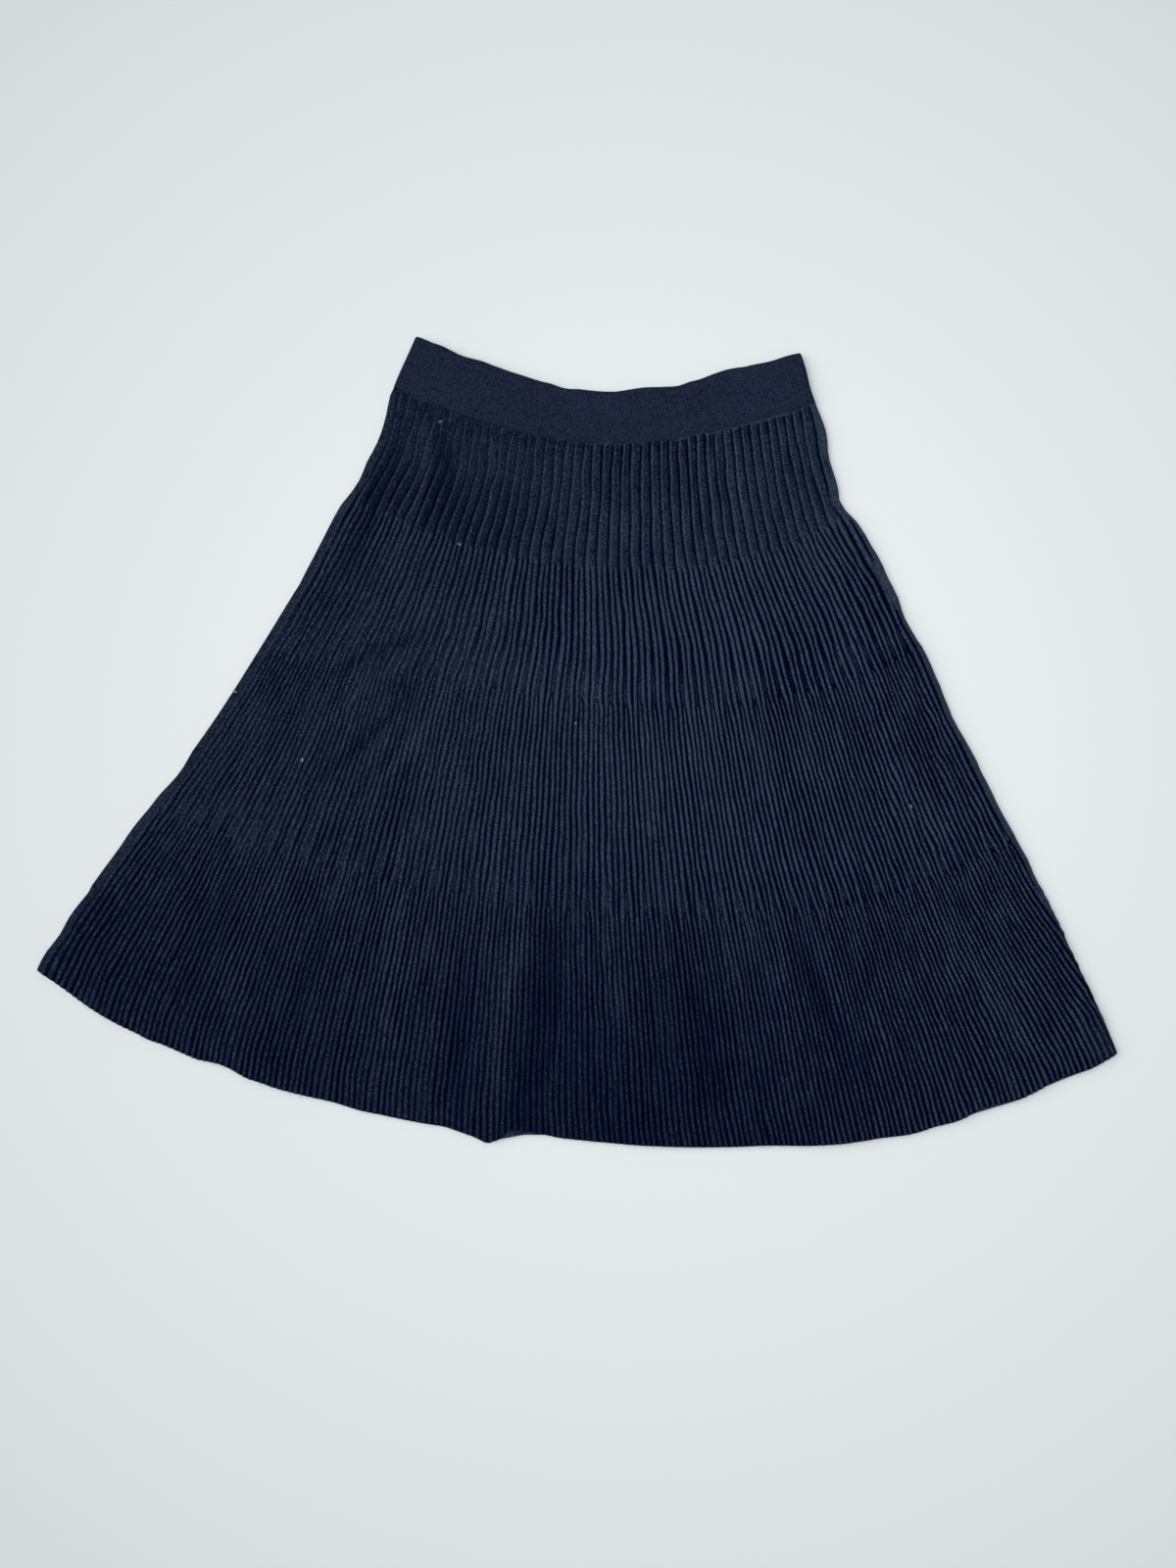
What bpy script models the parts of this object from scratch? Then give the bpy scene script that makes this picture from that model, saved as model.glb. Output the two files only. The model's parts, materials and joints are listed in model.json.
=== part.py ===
"""A flared rib-knit skirt laid flat: front panel, back panel and waistband.

The skirt lies on its back on the plane z = 0, with its waist towards +Y. The front panel lies on the back
panel, and both are sewn to a plain waistband, a flattened tube. The ribs of the front run down the skirt in
four tiers: each repeat has one wide rib in the first tier, then two, three and four narrower ones.

Sizes are in millimetres up to the last step, which turns them into metres.
"""

import math
from typing import NamedTuple

import bpy

MM = 0.001
OBJECT_NAME = "a_line_knit_skirt"

# Cloth and layers
BACK_WALL = 1.4
FRONT_WALL = 1.3
BAND_WALL = 1.7
LAYER_GAP = 0.4
SEAM_GAP = 0.36
BAND_HOLLOW = 0.5

# The knitted repeats across the front, from one side fold to the other
REPEATS = 48

# Side folds: how far the cloth takes to round over, and what is left standing at the outline
FOLD_RADIUS = 4.5
FOLD_EDGE = 0.8
BACK_EDGE_LIFT = 0.5
BACK_EDGE_INSET = 1.6

# Plain grids: how many columns and rows the inner and under sides have
PLAIN_COLUMNS = 24
BAND_COLUMNS = 28

# The ribs change over this length between tiers, and lie level again this far past it
TIER_CHANGE = 3.0
SETTLE = 2.5

# The hem hangs lower where a fold ends on it, over this length
HEM_DROP_LENGTH = 30.0


class Section(NamedTuple):
    """A line across the skirt that follows the knitted rows, from the left fold to the right one.

    down is measured along the middle from the waist edge. left and right are the outline's places across.
    The five heights are places along the skirt at even steps from left to right, so that the sagging curve
    of the row is kept.
    """

    name: str
    down: float
    left: float
    right: float
    at_left: float
    left_quarter: float
    middle: float
    right_quarter: float
    at_right: float


SECTIONS = (
    Section("waist edge", 0.0, -105.0, 106.0, 216.0, 199.0, 190.5, 200.0, 217.0),
    Section("band seam", 28.5, -115.5, 115.5, 188.0, 168.5, 162.0, 170.0, 190.0),
    Section("middle of tier 1", 64.0, -123.0, 124.0, 157.0, 134.5, 126.5, 133.5, 158.0),
    Section("end of tier 1", 99.5, -139.5, 137.0, 125.0, 101.0, 91.0, 97.0, 127.0),
    Section("middle of tier 2", 136.0, -159.5, 159.5, 80.5, 64.5, 54.5, 59.0, 92.0),
    Section("end of tier 2", 173.0, -182.5, 177.0, 36.5, 28.0, 18.0, 21.0, 57.0),
    Section("middle of tier 3", 229.5, -206.5, 204.0, -6.0, -27.0, -39.0, -35.0, 5.0),
    Section("end of tier 3", 285.5, -234.5, 232.5, -48.5, -81.0, -95.0, -90.0, -46.0),
    Section("middle of tier 4", 345.5, -264.0, 262.0, -93.5, -139.5, -155.0, -150.0, -101.5),
    Section("above the hem", 387.0, -283.0, 281.0, -125.0, -180.0, -196.5, -190.5, -140.0),
    Section("hem", 405.5, -288.5, 288.5, -138.5, -197.5, -214.5, -209.0, -156.5),
)

BAND_SEAM = SECTIONS[1].down
HEM = SECTIONS[-1].down


class Rib(NamedTuple):
    """A turning point of the rib profile: its place in the repeat, from 0 to 1, and its share of the height."""

    place: float
    height: float


class Tier(NamedTuple):
    """A band of rows with one rib profile. start and end are measured down the middle."""

    name: str
    start: float
    end: float
    steps: int
    rib_height: float
    profile: tuple


def even_ribs(count: int) -> tuple:
    """Ridges and furrows in turn, with a ridge at the start of the repeat."""
    turns = []
    for rib in range(count):
        turns.append(Rib(rib / count, 1.0))
        turns.append(Rib((rib + 0.5) / count, 0.0))
    return tuple(turns)


WIDE_RIB = (Rib(0.0, 0.0), Rib(0.18, 0.92), Rib(0.5, 1.0), Rib(0.82, 0.92))
RIB_PAIR = (Rib(0.0, 0.0), Rib(0.28, 1.0), Rib(0.5, 0.25), Rib(0.72, 1.0))

TIERS = (
    Tier("tier 1", BAND_SEAM, 99.5, 2, 1.0, WIDE_RIB),
    Tier("tier 2", 99.5, 173.0, 2, 0.95, RIB_PAIR),
    Tier("tier 3", 173.0, 285.5, 2, 0.75, even_ribs(3)),
    Tier("tier 4", 285.5, HEM, 3, 0.75, even_ribs(4)),
)


class Fold(NamedTuple):
    """A soft ridge of the front that stands off the back. across runs from -1 at the left fold to 1.

    drop is how much lower the hem hangs where the ridge ends on it.
    """

    name: str
    across_start: float
    across_end: float
    down_start: float
    down_end: float
    width: float
    lift: float
    drop: float


FOLDS = (
    Fold("left hem wave", -0.50, -0.60, 250.0, 460.0, 46.0, 1.9, 0.4),
    Fold("left flank", -0.45, -0.72, 90.0, 330.0, 40.0, 1.1, 0.0),
    Fold("pinch by the middle of the hem", -0.20, -0.175, 340.0, 470.0, 14.0, 2.2, 3.2),
    Fold("middle wave", 0.12, 0.16, 210.0, 470.0, 50.0, 1.6, 0.5),
    Fold("right hem wave", 0.42, 0.50, 260.0, 470.0, 42.0, 2.1, 0.9),
    Fold("crease inside the right fold", 0.86, 0.90, 110.0, 330.0, 16.0, 1.6, 0.0),
    Fold("right hip", 0.60, 0.66, 60.0, 190.0, 30.0, 0.9, 0.0),
)

# The largest lift of the front off the back, which keeps the layers lying on each other
MOST_LIFT = 2.6


def hermite(xs: list, ys: list, x: float) -> float:
    """A smooth curve through the points (xs, ys), read at x."""
    last = len(xs) - 1
    x = min(max(x, xs[0]), xs[last])
    i = 0
    while i < last - 1 and x > xs[i + 1]:
        i += 1

    def slope(k: int) -> float:
        low = max(k - 1, 0)
        high = min(k + 1, last)
        return (ys[high] - ys[low]) / (xs[high] - xs[low])

    width = xs[i + 1] - xs[i]
    t = (x - xs[i]) / width
    h00 = 2 * t**3 - 3 * t**2 + 1
    h10 = t**3 - 2 * t**2 + t
    h01 = -2 * t**3 + 3 * t**2
    h11 = t**3 - t**2
    return h00 * ys[i] + h10 * width * slope(i) + h01 * ys[i + 1] + h11 * width * slope(i + 1)


SECTION_DOWNS = [section.down for section in SECTIONS]


def section_value(field: str, down: float) -> float:
    """One column of the section table, read at any distance down the middle."""
    return hermite(SECTION_DOWNS, [getattr(section, field) for section in SECTIONS], down)


def row_height(across: float, down: float) -> float:
    """The place along the skirt of a row, by a curve of fourth degree through its five heights."""
    fields = ("at_left", "left_quarter", "middle", "right_quarter", "at_right")
    step = 2 * (across + 1)
    total = 0.0
    for i, field in enumerate(fields):
        weight = 1.0
        for j in range(len(fields)):
            if j != i:
                weight *= (step - j) / (i - j)
        total += weight * section_value(field, down)
    return total


def middle_of_length() -> float:
    """Halfway between the waist's higher corner and the lowest point of the hem."""
    top = max(row_height(-1.0, 0.0), row_height(1.0, 0.0))
    bottom = min(row_height(i / PLAIN_COLUMNS, HEM) for i in range(-PLAIN_COLUMNS, PLAIN_COLUMNS + 1))
    return (top + bottom) / 2


LENGTH_MIDDLE = middle_of_length()


def plan(across: float, down: float) -> tuple:
    """Where a point of the cloth lies in plan, with the origin in the middle of the outline."""
    left = section_value("left", down)
    right = section_value("right", down)
    return left + (across + 1) / 2 * (right - left), row_height(across, down) - LENGTH_MIDDLE


def half_width(down: float) -> float:
    """Half the skirt's width at a row."""
    return (section_value("right", down) - section_value("left", down)) / 2


def bell(distance: float, width: float) -> float:
    """A smooth hump that is 1 in its middle and 0 past its width."""
    ratio = min(abs(distance) / width, 1.0)
    return (1 - ratio * ratio) ** 2


def lift(across: float, down: float) -> float:
    """How far the front stands off the back, from the folds that cross this point."""
    total = 0.0
    for fold in FOLDS:
        if not fold.down_start < down < fold.down_end:
            continue
        share = (down - fold.down_start) / (fold.down_end - fold.down_start)
        centre = fold.across_start + share * (fold.across_end - fold.across_start)
        length_fade = math.sin(math.pi * share)
        total += fold.lift * length_fade * bell((across - centre) * half_width(down), fold.width)
    side = (1 - abs(across)) * half_width(down)
    side_fade = min(side / (3 * FOLD_RADIUS), 1.0)
    seam_fade = min((down - BAND_SEAM) / 25.0, 1.0)
    return min(total, MOST_LIFT) * side_fade * seam_fade


def front_place(across: float, down: float) -> tuple:
    """Where a point of the front lies in plan, with the hem drawn down at its folds."""
    x, y = plan(across, down)
    near_hem = max(0.0, 1 - (HEM - down) / HEM_DROP_LENGTH)
    drop = 0.0
    for fold in FOLDS:
        drop += fold.drop * bell((across - fold.across_end) * half_width(down), fold.width)
    return x, y - drop * near_hem * near_hem


def sideways_drift(across: float, down: float) -> float:
    """The ribs' slight waver across the skirt, in shares of the half width."""
    calm = (1 - across * across) * min((down - BAND_SEAM) / 30.0, 1.0) * min((HEM - down) / 30.0, 1.0)
    return 0.0035 * calm * (math.sin(down / 17.0 + 5.0 * across) + math.sin(down / 29.0 - 7.0 * across))


def front_inner_height(across: float, down: float) -> float:
    """The height of the front panel's plain inner face."""
    return BACK_WALL + LAYER_GAP + lift(across, down)


def fold_rounding(across: float, down: float, full: float) -> float:
    """The front's thickness near a side fold, where the cloth rounds over."""
    side = (1 - abs(across)) * half_width(down)
    ratio = min(side / FOLD_RADIUS, 1.0)
    return FOLD_EDGE + (full - FOLD_EDGE) * math.sqrt(1 - (1 - ratio) ** 2)


class Mesh:
    """Points and faces of one closed body, in millimetres."""

    def __init__(self) -> None:
        self.points = []
        self.faces = []

    def row(self, places: list, acrosses: list) -> dict:
        """Adds a row of points and keeps where each lies across."""
        first = len(self.points)
        self.points.extend(places)
        return {"ids": list(range(first, len(self.points))), "at": list(acrosses)}

    def face(self, corners: tuple, flip: bool) -> None:
        """Adds a face, turned over where flip is set."""
        self.faces.append(tuple(reversed(corners)) if flip else corners)

    def stitch(self, upper: dict, lower: dict, flip: bool = False) -> None:
        """Joins two rows that may differ in their number of points, with the next point always the nearest."""
        a, b = upper["ids"], lower["ids"]
        u, v = upper["at"], lower["at"]
        i = j = 0
        while i < len(a) - 1 or j < len(b) - 1:
            next_u = u[i + 1] if i < len(a) - 1 else math.inf
            next_v = v[j + 1] if j < len(b) - 1 else math.inf
            if abs(next_u - next_v) < 1e-9:
                self.face((a[i], b[j], b[j + 1], a[i + 1]), flip)
                i += 1
                j += 1
            elif next_v < next_u:
                self.face((a[i], b[j], b[j + 1]), flip)
                j += 1
            else:
                self.face((a[i], b[j], a[i + 1]), flip)
                i += 1

    def side(self, rows: list, end: int) -> dict:
        """The column of end points of several rows, as a row of its own."""
        return {"ids": [row["ids"][end] for row in rows], "at": [row["down"] for row in rows]}


def panel_downs(first: float, last: float) -> list:
    """The rows of a panel's plain faces: one at each section and one between."""
    downs = [first]
    inner = [section.down for section in SECTIONS if first < section.down < last]
    for down in inner + [last]:
        downs.append((downs[-1] + down) / 2)
        downs.append(down)
    return downs


PANEL_START = BAND_SEAM + SEAM_GAP / 2
PLAIN_ACROSS = [2 * i / PLAIN_COLUMNS - 1 for i in range(PLAIN_COLUMNS + 1)]


def plain_row(mesh: Mesh, down: float, place, height) -> dict:
    """A row of evenly spaced points, with their places in plan and their heights from two functions."""
    places = [(*place(across, down), height(across, down)) for across in PLAIN_ACROSS]
    row = mesh.row(places, PLAIN_ACROSS)
    row["down"] = down
    return row


def tier_rows(tier: Tier) -> list:
    """The rows of a tier: evenly spaced ones, and one beside each change of the ribs."""
    first_tier = tier is TIERS[0]
    last_tier = tier is TIERS[-1]
    start = PANEL_START if first_tier else tier.start + TIER_CHANGE / 2
    end = HEM if last_tier else tier.end - TIER_CHANGE / 2
    level_start = start if first_tier else start + SETTLE
    level_end = end if last_tier else end - SETTLE
    rows = [level_start + (level_end - level_start) * step / tier.steps for step in range(tier.steps + 1)]
    if not first_tier:
        rows.insert(0, start)
    if not last_tier:
        rows.append(end)
    return rows


def ribbed_row(mesh: Mesh, down: float, tier: Tier) -> dict:
    """A row of the front's outer face, with a point at each turn of the rib profile."""
    places = []
    acrosses = []
    for repeat in range(REPEATS):
        for rib in tier.profile:
            acrosses.append((2 * (repeat + rib.place) / REPEATS - 1, rib.height))
    acrosses.append((1.0, tier.profile[0].height))
    for across, share in acrosses:
        x, y = front_place(across + sideways_drift(across, down), down)
        full = FRONT_WALL + tier.rib_height * share
        z = front_inner_height(across, down) + fold_rounding(across, down, full)
        places.append((x, y, z))
    row = mesh.row(places, [across for across, _ in acrosses])
    row["down"] = down
    return row


def build_front_panel() -> Mesh:
    """The ribbed front: rows of ribs outside, a plain face inside, and rims round the edge."""
    mesh = Mesh()
    outer = [ribbed_row(mesh, down, tier) for tier in TIERS for down in tier_rows(tier)]
    inner = [plain_row(mesh, down, front_place, front_inner_height) for down in panel_downs(PANEL_START, HEM)]
    close_panel(mesh, outer, inner)
    return mesh


def close_panel(mesh: Mesh, upper: list, lower: list) -> None:
    """Faces between the rows of an upper and a lower side, and round the rim."""
    for before, after in zip(upper, upper[1:]):
        mesh.stitch(before, after)
    for before, after in zip(lower, lower[1:]):
        mesh.stitch(before, after, flip=True)
    mesh.stitch(lower[0], upper[0])
    mesh.stitch(upper[-1], lower[-1])
    mesh.stitch(mesh.side(upper, 0), mesh.side(lower, 0))
    mesh.stitch(mesh.side(upper, -1), mesh.side(lower, -1), flip=True)


def build_back_panel() -> Mesh:
    """The back: a flat underside, drawn in at the side folds where the cloth curves up to meet the front."""
    mesh = Mesh()
    downs = panel_downs(PANEL_START, HEM)

    def top(_across: float, _down: float) -> float:
        return BACK_WALL

    upper = [plain_row(mesh, down, plan, top) for down in downs]
    under = []
    for down in downs:
        flat_share = 1 - BACK_EDGE_INSET / half_width(down)
        acrosses = [-1.0, *(across * flat_share for across in PLAIN_ACROSS), 1.0]
        heights = [BACK_EDGE_LIFT, *(0.0 for _ in PLAIN_ACROSS), BACK_EDGE_LIFT]
        row = mesh.row([(*plan(across, down), z) for across, z in zip(acrosses, heights)], acrosses)
        row["down"] = down
        under.append(row)
    close_panel(mesh, upper, under)
    return mesh


def band_loop(mesh: Mesh, down: float, inset: float) -> dict:
    """One loop round the flattened band, from the left fold along the front to the right and back under."""
    thick = 2 * BAND_WALL + BAND_HOLLOW
    low = inset
    high = thick - inset
    middle = thick / 2
    radius = (high - low) / 2
    reach = half_width(down)
    bends = [math.radians(angle) for angle in (180, 150, 120, 90)]
    left_side = [(-1 + (inset + radius * (1 + math.cos(b))) / reach, middle + radius * math.sin(b)) for b in bends]
    front = [(2 * i / BAND_COLUMNS - 1, high) for i in range(1, BAND_COLUMNS)]
    half = left_side + front + [(-a, z) for a, z in reversed(left_side)]
    under = [(a, thick - z) for a, z in reversed(half[1:-1])]
    places = []
    for across, z in half + under:
        x, y = plan(across, down)
        places.append((x, y, z))
    count = len(places)
    row = mesh.row(places, range(count))
    row["ids"].append(row["ids"][0])
    row["at"].append(count)
    return row


def build_waistband() -> Mesh:
    """The band: a flattened tube with an outer and an inner wall, open at the waist and at the seam."""
    mesh = Mesh()
    steps = 4
    last = BAND_SEAM - SEAM_GAP / 2
    downs = [last * step / steps for step in range(steps + 1)]
    outer = [band_loop(mesh, down, 0.0) for down in downs]
    inner = [band_loop(mesh, down, BAND_WALL) for down in downs]
    for before, after in zip(outer, outer[1:]):
        mesh.stitch(before, after)
    for before, after in zip(inner, inner[1:]):
        mesh.stitch(before, after, flip=True)
    mesh.stitch(inner[0], outer[0])
    mesh.stitch(outer[-1], inner[-1])
    return mesh


def cloth_material(name: str, colour: tuple, roughness: float) -> bpy.types.Material:
    """A plain knit material."""
    material = bpy.data.materials.new(name)
    material.use_nodes = True
    shader = material.node_tree.nodes["Principled BSDF"]
    shader.inputs["Base Color"].default_value = (*colour, 1.0)
    shader.inputs["Roughness"].default_value = roughness
    shader.inputs["Metallic"].default_value = 0.0
    material.diffuse_color = (*colour, 1.0)
    return material


def add_piece(name: str, body: Mesh, material: bpy.types.Material, parts, parent) -> None:
    """Puts a body in the scene, in metres, with its material and its faces pointing out."""
    mesh = bpy.data.meshes.new(name)
    mesh.from_pydata([tuple(c * MM for c in point) for point in body.points], [], body.faces)
    mesh.materials.append(material)
    mesh.shade_smooth()
    mesh.set_sharp_from_angle(angle=math.radians(50))
    piece = bpy.data.objects.new(name, mesh)
    parts.objects.link(piece)
    piece.parent = parent


def main() -> None:
    """Clears the scene and builds the skirt."""
    for thing in list(bpy.data.objects):
        bpy.data.objects.remove(thing, do_unlink=True)
    parts = bpy.data.collections.new(OBJECT_NAME)
    bpy.context.scene.collection.children.link(parts)
    root = bpy.data.objects.new(OBJECT_NAME + "_origin", None)
    parts.objects.link(root)
    front_knit = cloth_material("front_rib_knit", (0.013, 0.018, 0.032), 0.92)
    back_knit = cloth_material("back_rib_knit", (0.011, 0.016, 0.029), 0.92)
    band_knit = cloth_material("band_fine_knit", (0.014, 0.019, 0.036), 0.88)
    add_piece("front_panel", build_front_panel(), front_knit, parts, root)
    add_piece("back_panel", build_back_panel(), back_knit, parts, root)
    add_piece("waistband", build_waistband(), band_knit, parts, root)


main()
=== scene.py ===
"""The looks of a flared rib-knit skirt laid flat.

The front and back panels get their real ribs, folds and creases, the waistband its rolled edge, and all of
them a fine wool knit with loose fibres along the edges. The knit's colour also carries painted shade: in its
furrows and the gaps between its stitches, just below the band's seam, and over broad parts of the front.
Sizes of the cloth are in millimetres, in the frame of the part, and become metres when a mesh is made.
"""
import json
import logging
import math
from dataclasses import dataclass, field
from enum import Enum
from typing import Callable, Iterable

import bpy
import numpy as np
from mathutils import Matrix, Vector

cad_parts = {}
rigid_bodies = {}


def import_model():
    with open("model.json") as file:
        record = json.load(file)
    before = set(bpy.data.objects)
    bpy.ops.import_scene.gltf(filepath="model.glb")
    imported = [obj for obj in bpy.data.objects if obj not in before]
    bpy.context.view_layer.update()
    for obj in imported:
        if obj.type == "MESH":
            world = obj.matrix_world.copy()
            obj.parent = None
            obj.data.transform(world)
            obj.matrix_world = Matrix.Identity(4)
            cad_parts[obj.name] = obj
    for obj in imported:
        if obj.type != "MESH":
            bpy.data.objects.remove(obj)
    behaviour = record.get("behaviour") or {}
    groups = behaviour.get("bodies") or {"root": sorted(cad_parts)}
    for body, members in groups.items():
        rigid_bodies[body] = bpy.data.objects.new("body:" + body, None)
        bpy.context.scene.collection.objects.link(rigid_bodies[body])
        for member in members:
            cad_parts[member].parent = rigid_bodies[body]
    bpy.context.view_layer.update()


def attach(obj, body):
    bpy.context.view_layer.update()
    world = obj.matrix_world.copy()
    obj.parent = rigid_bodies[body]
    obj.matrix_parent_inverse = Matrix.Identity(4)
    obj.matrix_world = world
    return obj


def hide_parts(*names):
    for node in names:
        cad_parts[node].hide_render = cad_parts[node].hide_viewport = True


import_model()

LOG = logging.getLogger("skirt")
MM = 0.001


# ---------------------------------------------------------------------------------------------------------
# The cut of the skirt: the same sections, tiers and folds as the solids
# ---------------------------------------------------------------------------------------------------------


@dataclass(frozen=True)
class Section:
    """A line across the skirt that follows the knitted rows, from the left fold to the right one."""

    name: str
    down: float
    left: float
    right: float
    at_left: float
    left_quarter: float
    middle: float
    right_quarter: float
    at_right: float


SECTIONS = (
    Section("waist edge", 0.0, -105.0, 106.0, 216.0, 199.0, 190.5, 200.0, 217.0),
    Section("band seam", 28.5, -115.5, 115.5, 188.0, 168.5, 162.0, 170.0, 190.0),
    Section("middle of tier 1", 64.0, -123.0, 124.0, 157.0, 134.5, 126.5, 133.5, 158.0),
    Section("end of tier 1", 99.5, -139.5, 137.0, 125.0, 101.0, 91.0, 97.0, 127.0),
    Section("middle of tier 2", 136.0, -159.5, 159.5, 80.5, 64.5, 54.5, 59.0, 92.0),
    Section("end of tier 2", 173.0, -182.5, 177.0, 36.5, 28.0, 18.0, 21.0, 57.0),
    Section("middle of tier 3", 229.5, -206.5, 204.0, -6.0, -27.0, -39.0, -35.0, 5.0),
    Section("end of tier 3", 285.5, -234.5, 232.5, -48.5, -81.0, -95.0, -90.0, -46.0),
    Section("middle of tier 4", 345.5, -264.0, 262.0, -93.5, -139.5, -155.0, -150.0, -101.5),
    Section("above the hem", 387.0, -283.0, 281.0, -125.0, -180.0, -196.5, -190.5, -140.0),
    Section("hem", 405.5, -288.5, 288.5, -138.5, -197.5, -214.5, -209.0, -156.5),
)

BAND_SEAM = SECTIONS[1].down
HEM = SECTIONS[-1].down
TIER_ENDS = (99.5, 173.0, 285.5)
REPEATS = 48

BACK_WALL = 1.4
FRONT_WALL = 1.3
BAND_WALL = 1.7
BAND_HOLLOW = 0.5
LAYER_GAP = 0.4
FOLD_RADIUS = 4.5


@dataclass(frozen=True)
class Fold:
    """A broad wave of the front. across runs from -1 at the left fold to 1 at the right one."""

    name: str
    across_start: float
    across_end: float
    down_start: float
    down_end: float
    width: float
    lift: float
    drop: float


FOLDS = (
    Fold("left hem wave", -0.50, -0.60, 250.0, 460.0, 46.0, 1.9, 0.4),
    Fold("left flank", -0.45, -0.72, 90.0, 330.0, 40.0, 1.1, 0.0),
    Fold("pinch by the middle of the hem", -0.20, -0.175, 340.0, 470.0, 14.0, 2.2, 3.2),
    Fold("middle wave", 0.12, 0.16, 210.0, 470.0, 50.0, 1.6, 0.5),
    Fold("right hem wave", 0.42, 0.50, 260.0, 470.0, 42.0, 2.1, 0.9),
    Fold("crease inside the right fold", 0.86, 0.90, 110.0, 330.0, 16.0, 1.6, 0.0),
    Fold("right hip", 0.60, 0.66, 60.0, 190.0, 30.0, 0.9, 0.0),
)
MOST_LIFT = 2.6
HEM_DROP_LENGTH = 30.0


# How strongly the creases show
CREASE_DEPTH = 1.35


@dataclass(frozen=True)
class Crease:
    """A soft ridge or trough through three places in plan. height is below 0 for a trough."""

    name: str
    start: tuple[float, float]
    bend: tuple[float, float]
    end: tuple[float, float]
    width: float
    height: float


CREASES = (
    Crease("trough beside the pinch", (-14.7, -90.0), (-17.5, -148.0), (-29.0, -232.0), 13.0, -1.7),
    Crease("ridge left of the pinch", (-29.4, -66.0), (-35.0, -133.0), (-44.5, -222.0), 9.0, 1.6),
    Crease("trough left of the ridge", (-60.5, -128.0), (-62.5, -165.0), (-62.0, -218.0), 10.0, -1.0),
    Crease("trough by the right of the hem", (112.0, -88.0), (127.7, -131.0), (150.0, -176.0), 8.5, -2.1),
    Crease("ridge beside it", (101.0, -94.0), (112.0, -137.0), (131.0, -194.0), 9.0, 0.9),
    Crease("line inside the right fold", (146.5, 101.0), (175.5, 40.0), (191.5, -50.0), 4.5, -2.1),
    Crease("ridge inside that line", (135.0, 88.0), (159.0, 23.0), (175.0, -50.0), 12.0, 1.0),
    Crease("first drag from the left hip", (-86.0, 54.0), (-116.0, 41.0), (-150.0, 19.0), 5.0, -1.4),
    Crease("second drag", (-82.0, 45.0), (-118.0, 22.0), (-153.0, -11.0), 5.5, 1.3),
    Crease("third drag", (-88.0, 30.0), (-119.0, -6.0), (-153.0, -38.0), 5.0, -1.5),
    Crease("fourth drag", (-68.0, 44.0), (-96.0, -12.0), (-148.0, -62.0), 6.5, 1.3),
    Crease("fifth drag", (-101.0, -9.0), (-121.0, -37.0), (-147.0, -73.0), 5.5, -1.3),
    Crease("trough along the left fold", (-111.0, 172.0), (-124.0, 118.0), (-155.0, 47.0), 7.5, -1.5),
    Crease("pucker ridge at the left of the seam", (-99.0, 165.0), (-96.0, 130.0), (-115.0, 72.0), 5.5, 1.5),
    Crease("dent at the left of the seam", (-91.0, 169.0), (-85.5, 147.0), (-86.0, 117.0), 6.5, -1.6),
    Crease("long faint pull right of the middle", (56.0, -22.0), (95.7, -33.0), (134.0, -56.0), 3.0, -1.1),
    Crease("trough by the left corner", (-180.0, -72.0), (-200.0, -120.0), (-215.0, -178.0), 11.0, -0.9),
    Crease("ridge by the left corner", (-160.0, -72.0), (-176.0, -124.0), (-187.0, -187.0), 11.0, 0.8),
    Crease("second trough of the left hem", (-134.0, -102.0), (-146.0, -143.0), (-155.0, -195.0), 10.0, -0.9),
    Crease("second ridge of the left hem", (-90.0, -96.0), (-97.0, -141.0), (-99.0, -203.0), 13.0, 0.9),
    Crease("ridge right of the middle", (22.0, -90.0), (26.0, -135.0), (28.0, -190.0), 14.0, 0.5),
    Crease("trough right of the middle", (56.0, -104.0), (67.0, -154.0), (79.0, -206.0), 11.0, -0.8),
    Crease("trough by the right corner", (155.0, -110.0), (176.0, -150.0), (196.0, -184.0), 10.0, -0.8),
    Crease("ridge by the right corner", (180.0, -68.0), (206.0, -117.0), (233.0, -166.0), 14.0, 0.8),
    Crease("faint crease down the right side", (155.6, 79.0), (189.0, 3.4), (200.0, -54.0), 5.0, 0.7),
    Crease("ridge under the right of the seam", (73.0, 171.0), (76.2, 143.6), (82.0, 112.0), 4.5, 0.7),
    Crease("trough beside that ridge", (65.0, 171.0), (67.6, 143.2), (72.0, 110.0), 4.5, -0.6),
    Crease("dimple at the first change of ribs", (-35.0, 91.0), (-26.0, 74.0), (-19.0, 50.0), 7.0, -0.7),
)


class Edge(Enum):
    """The four edges of the skirt as it lies."""

    WAIST = "waist"
    LEFT = "left"
    RIGHT = "right"
    HEM = "hem"


@dataclass(frozen=True)
class EdgeTouch:
    """A small bulge of an edge, or a small dent where out is below 0, as the cloth happened to settle.

    at is measured along x on the waist and the hem, and along y on the side folds.
    """

    at: float
    width: float
    out: float


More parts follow.
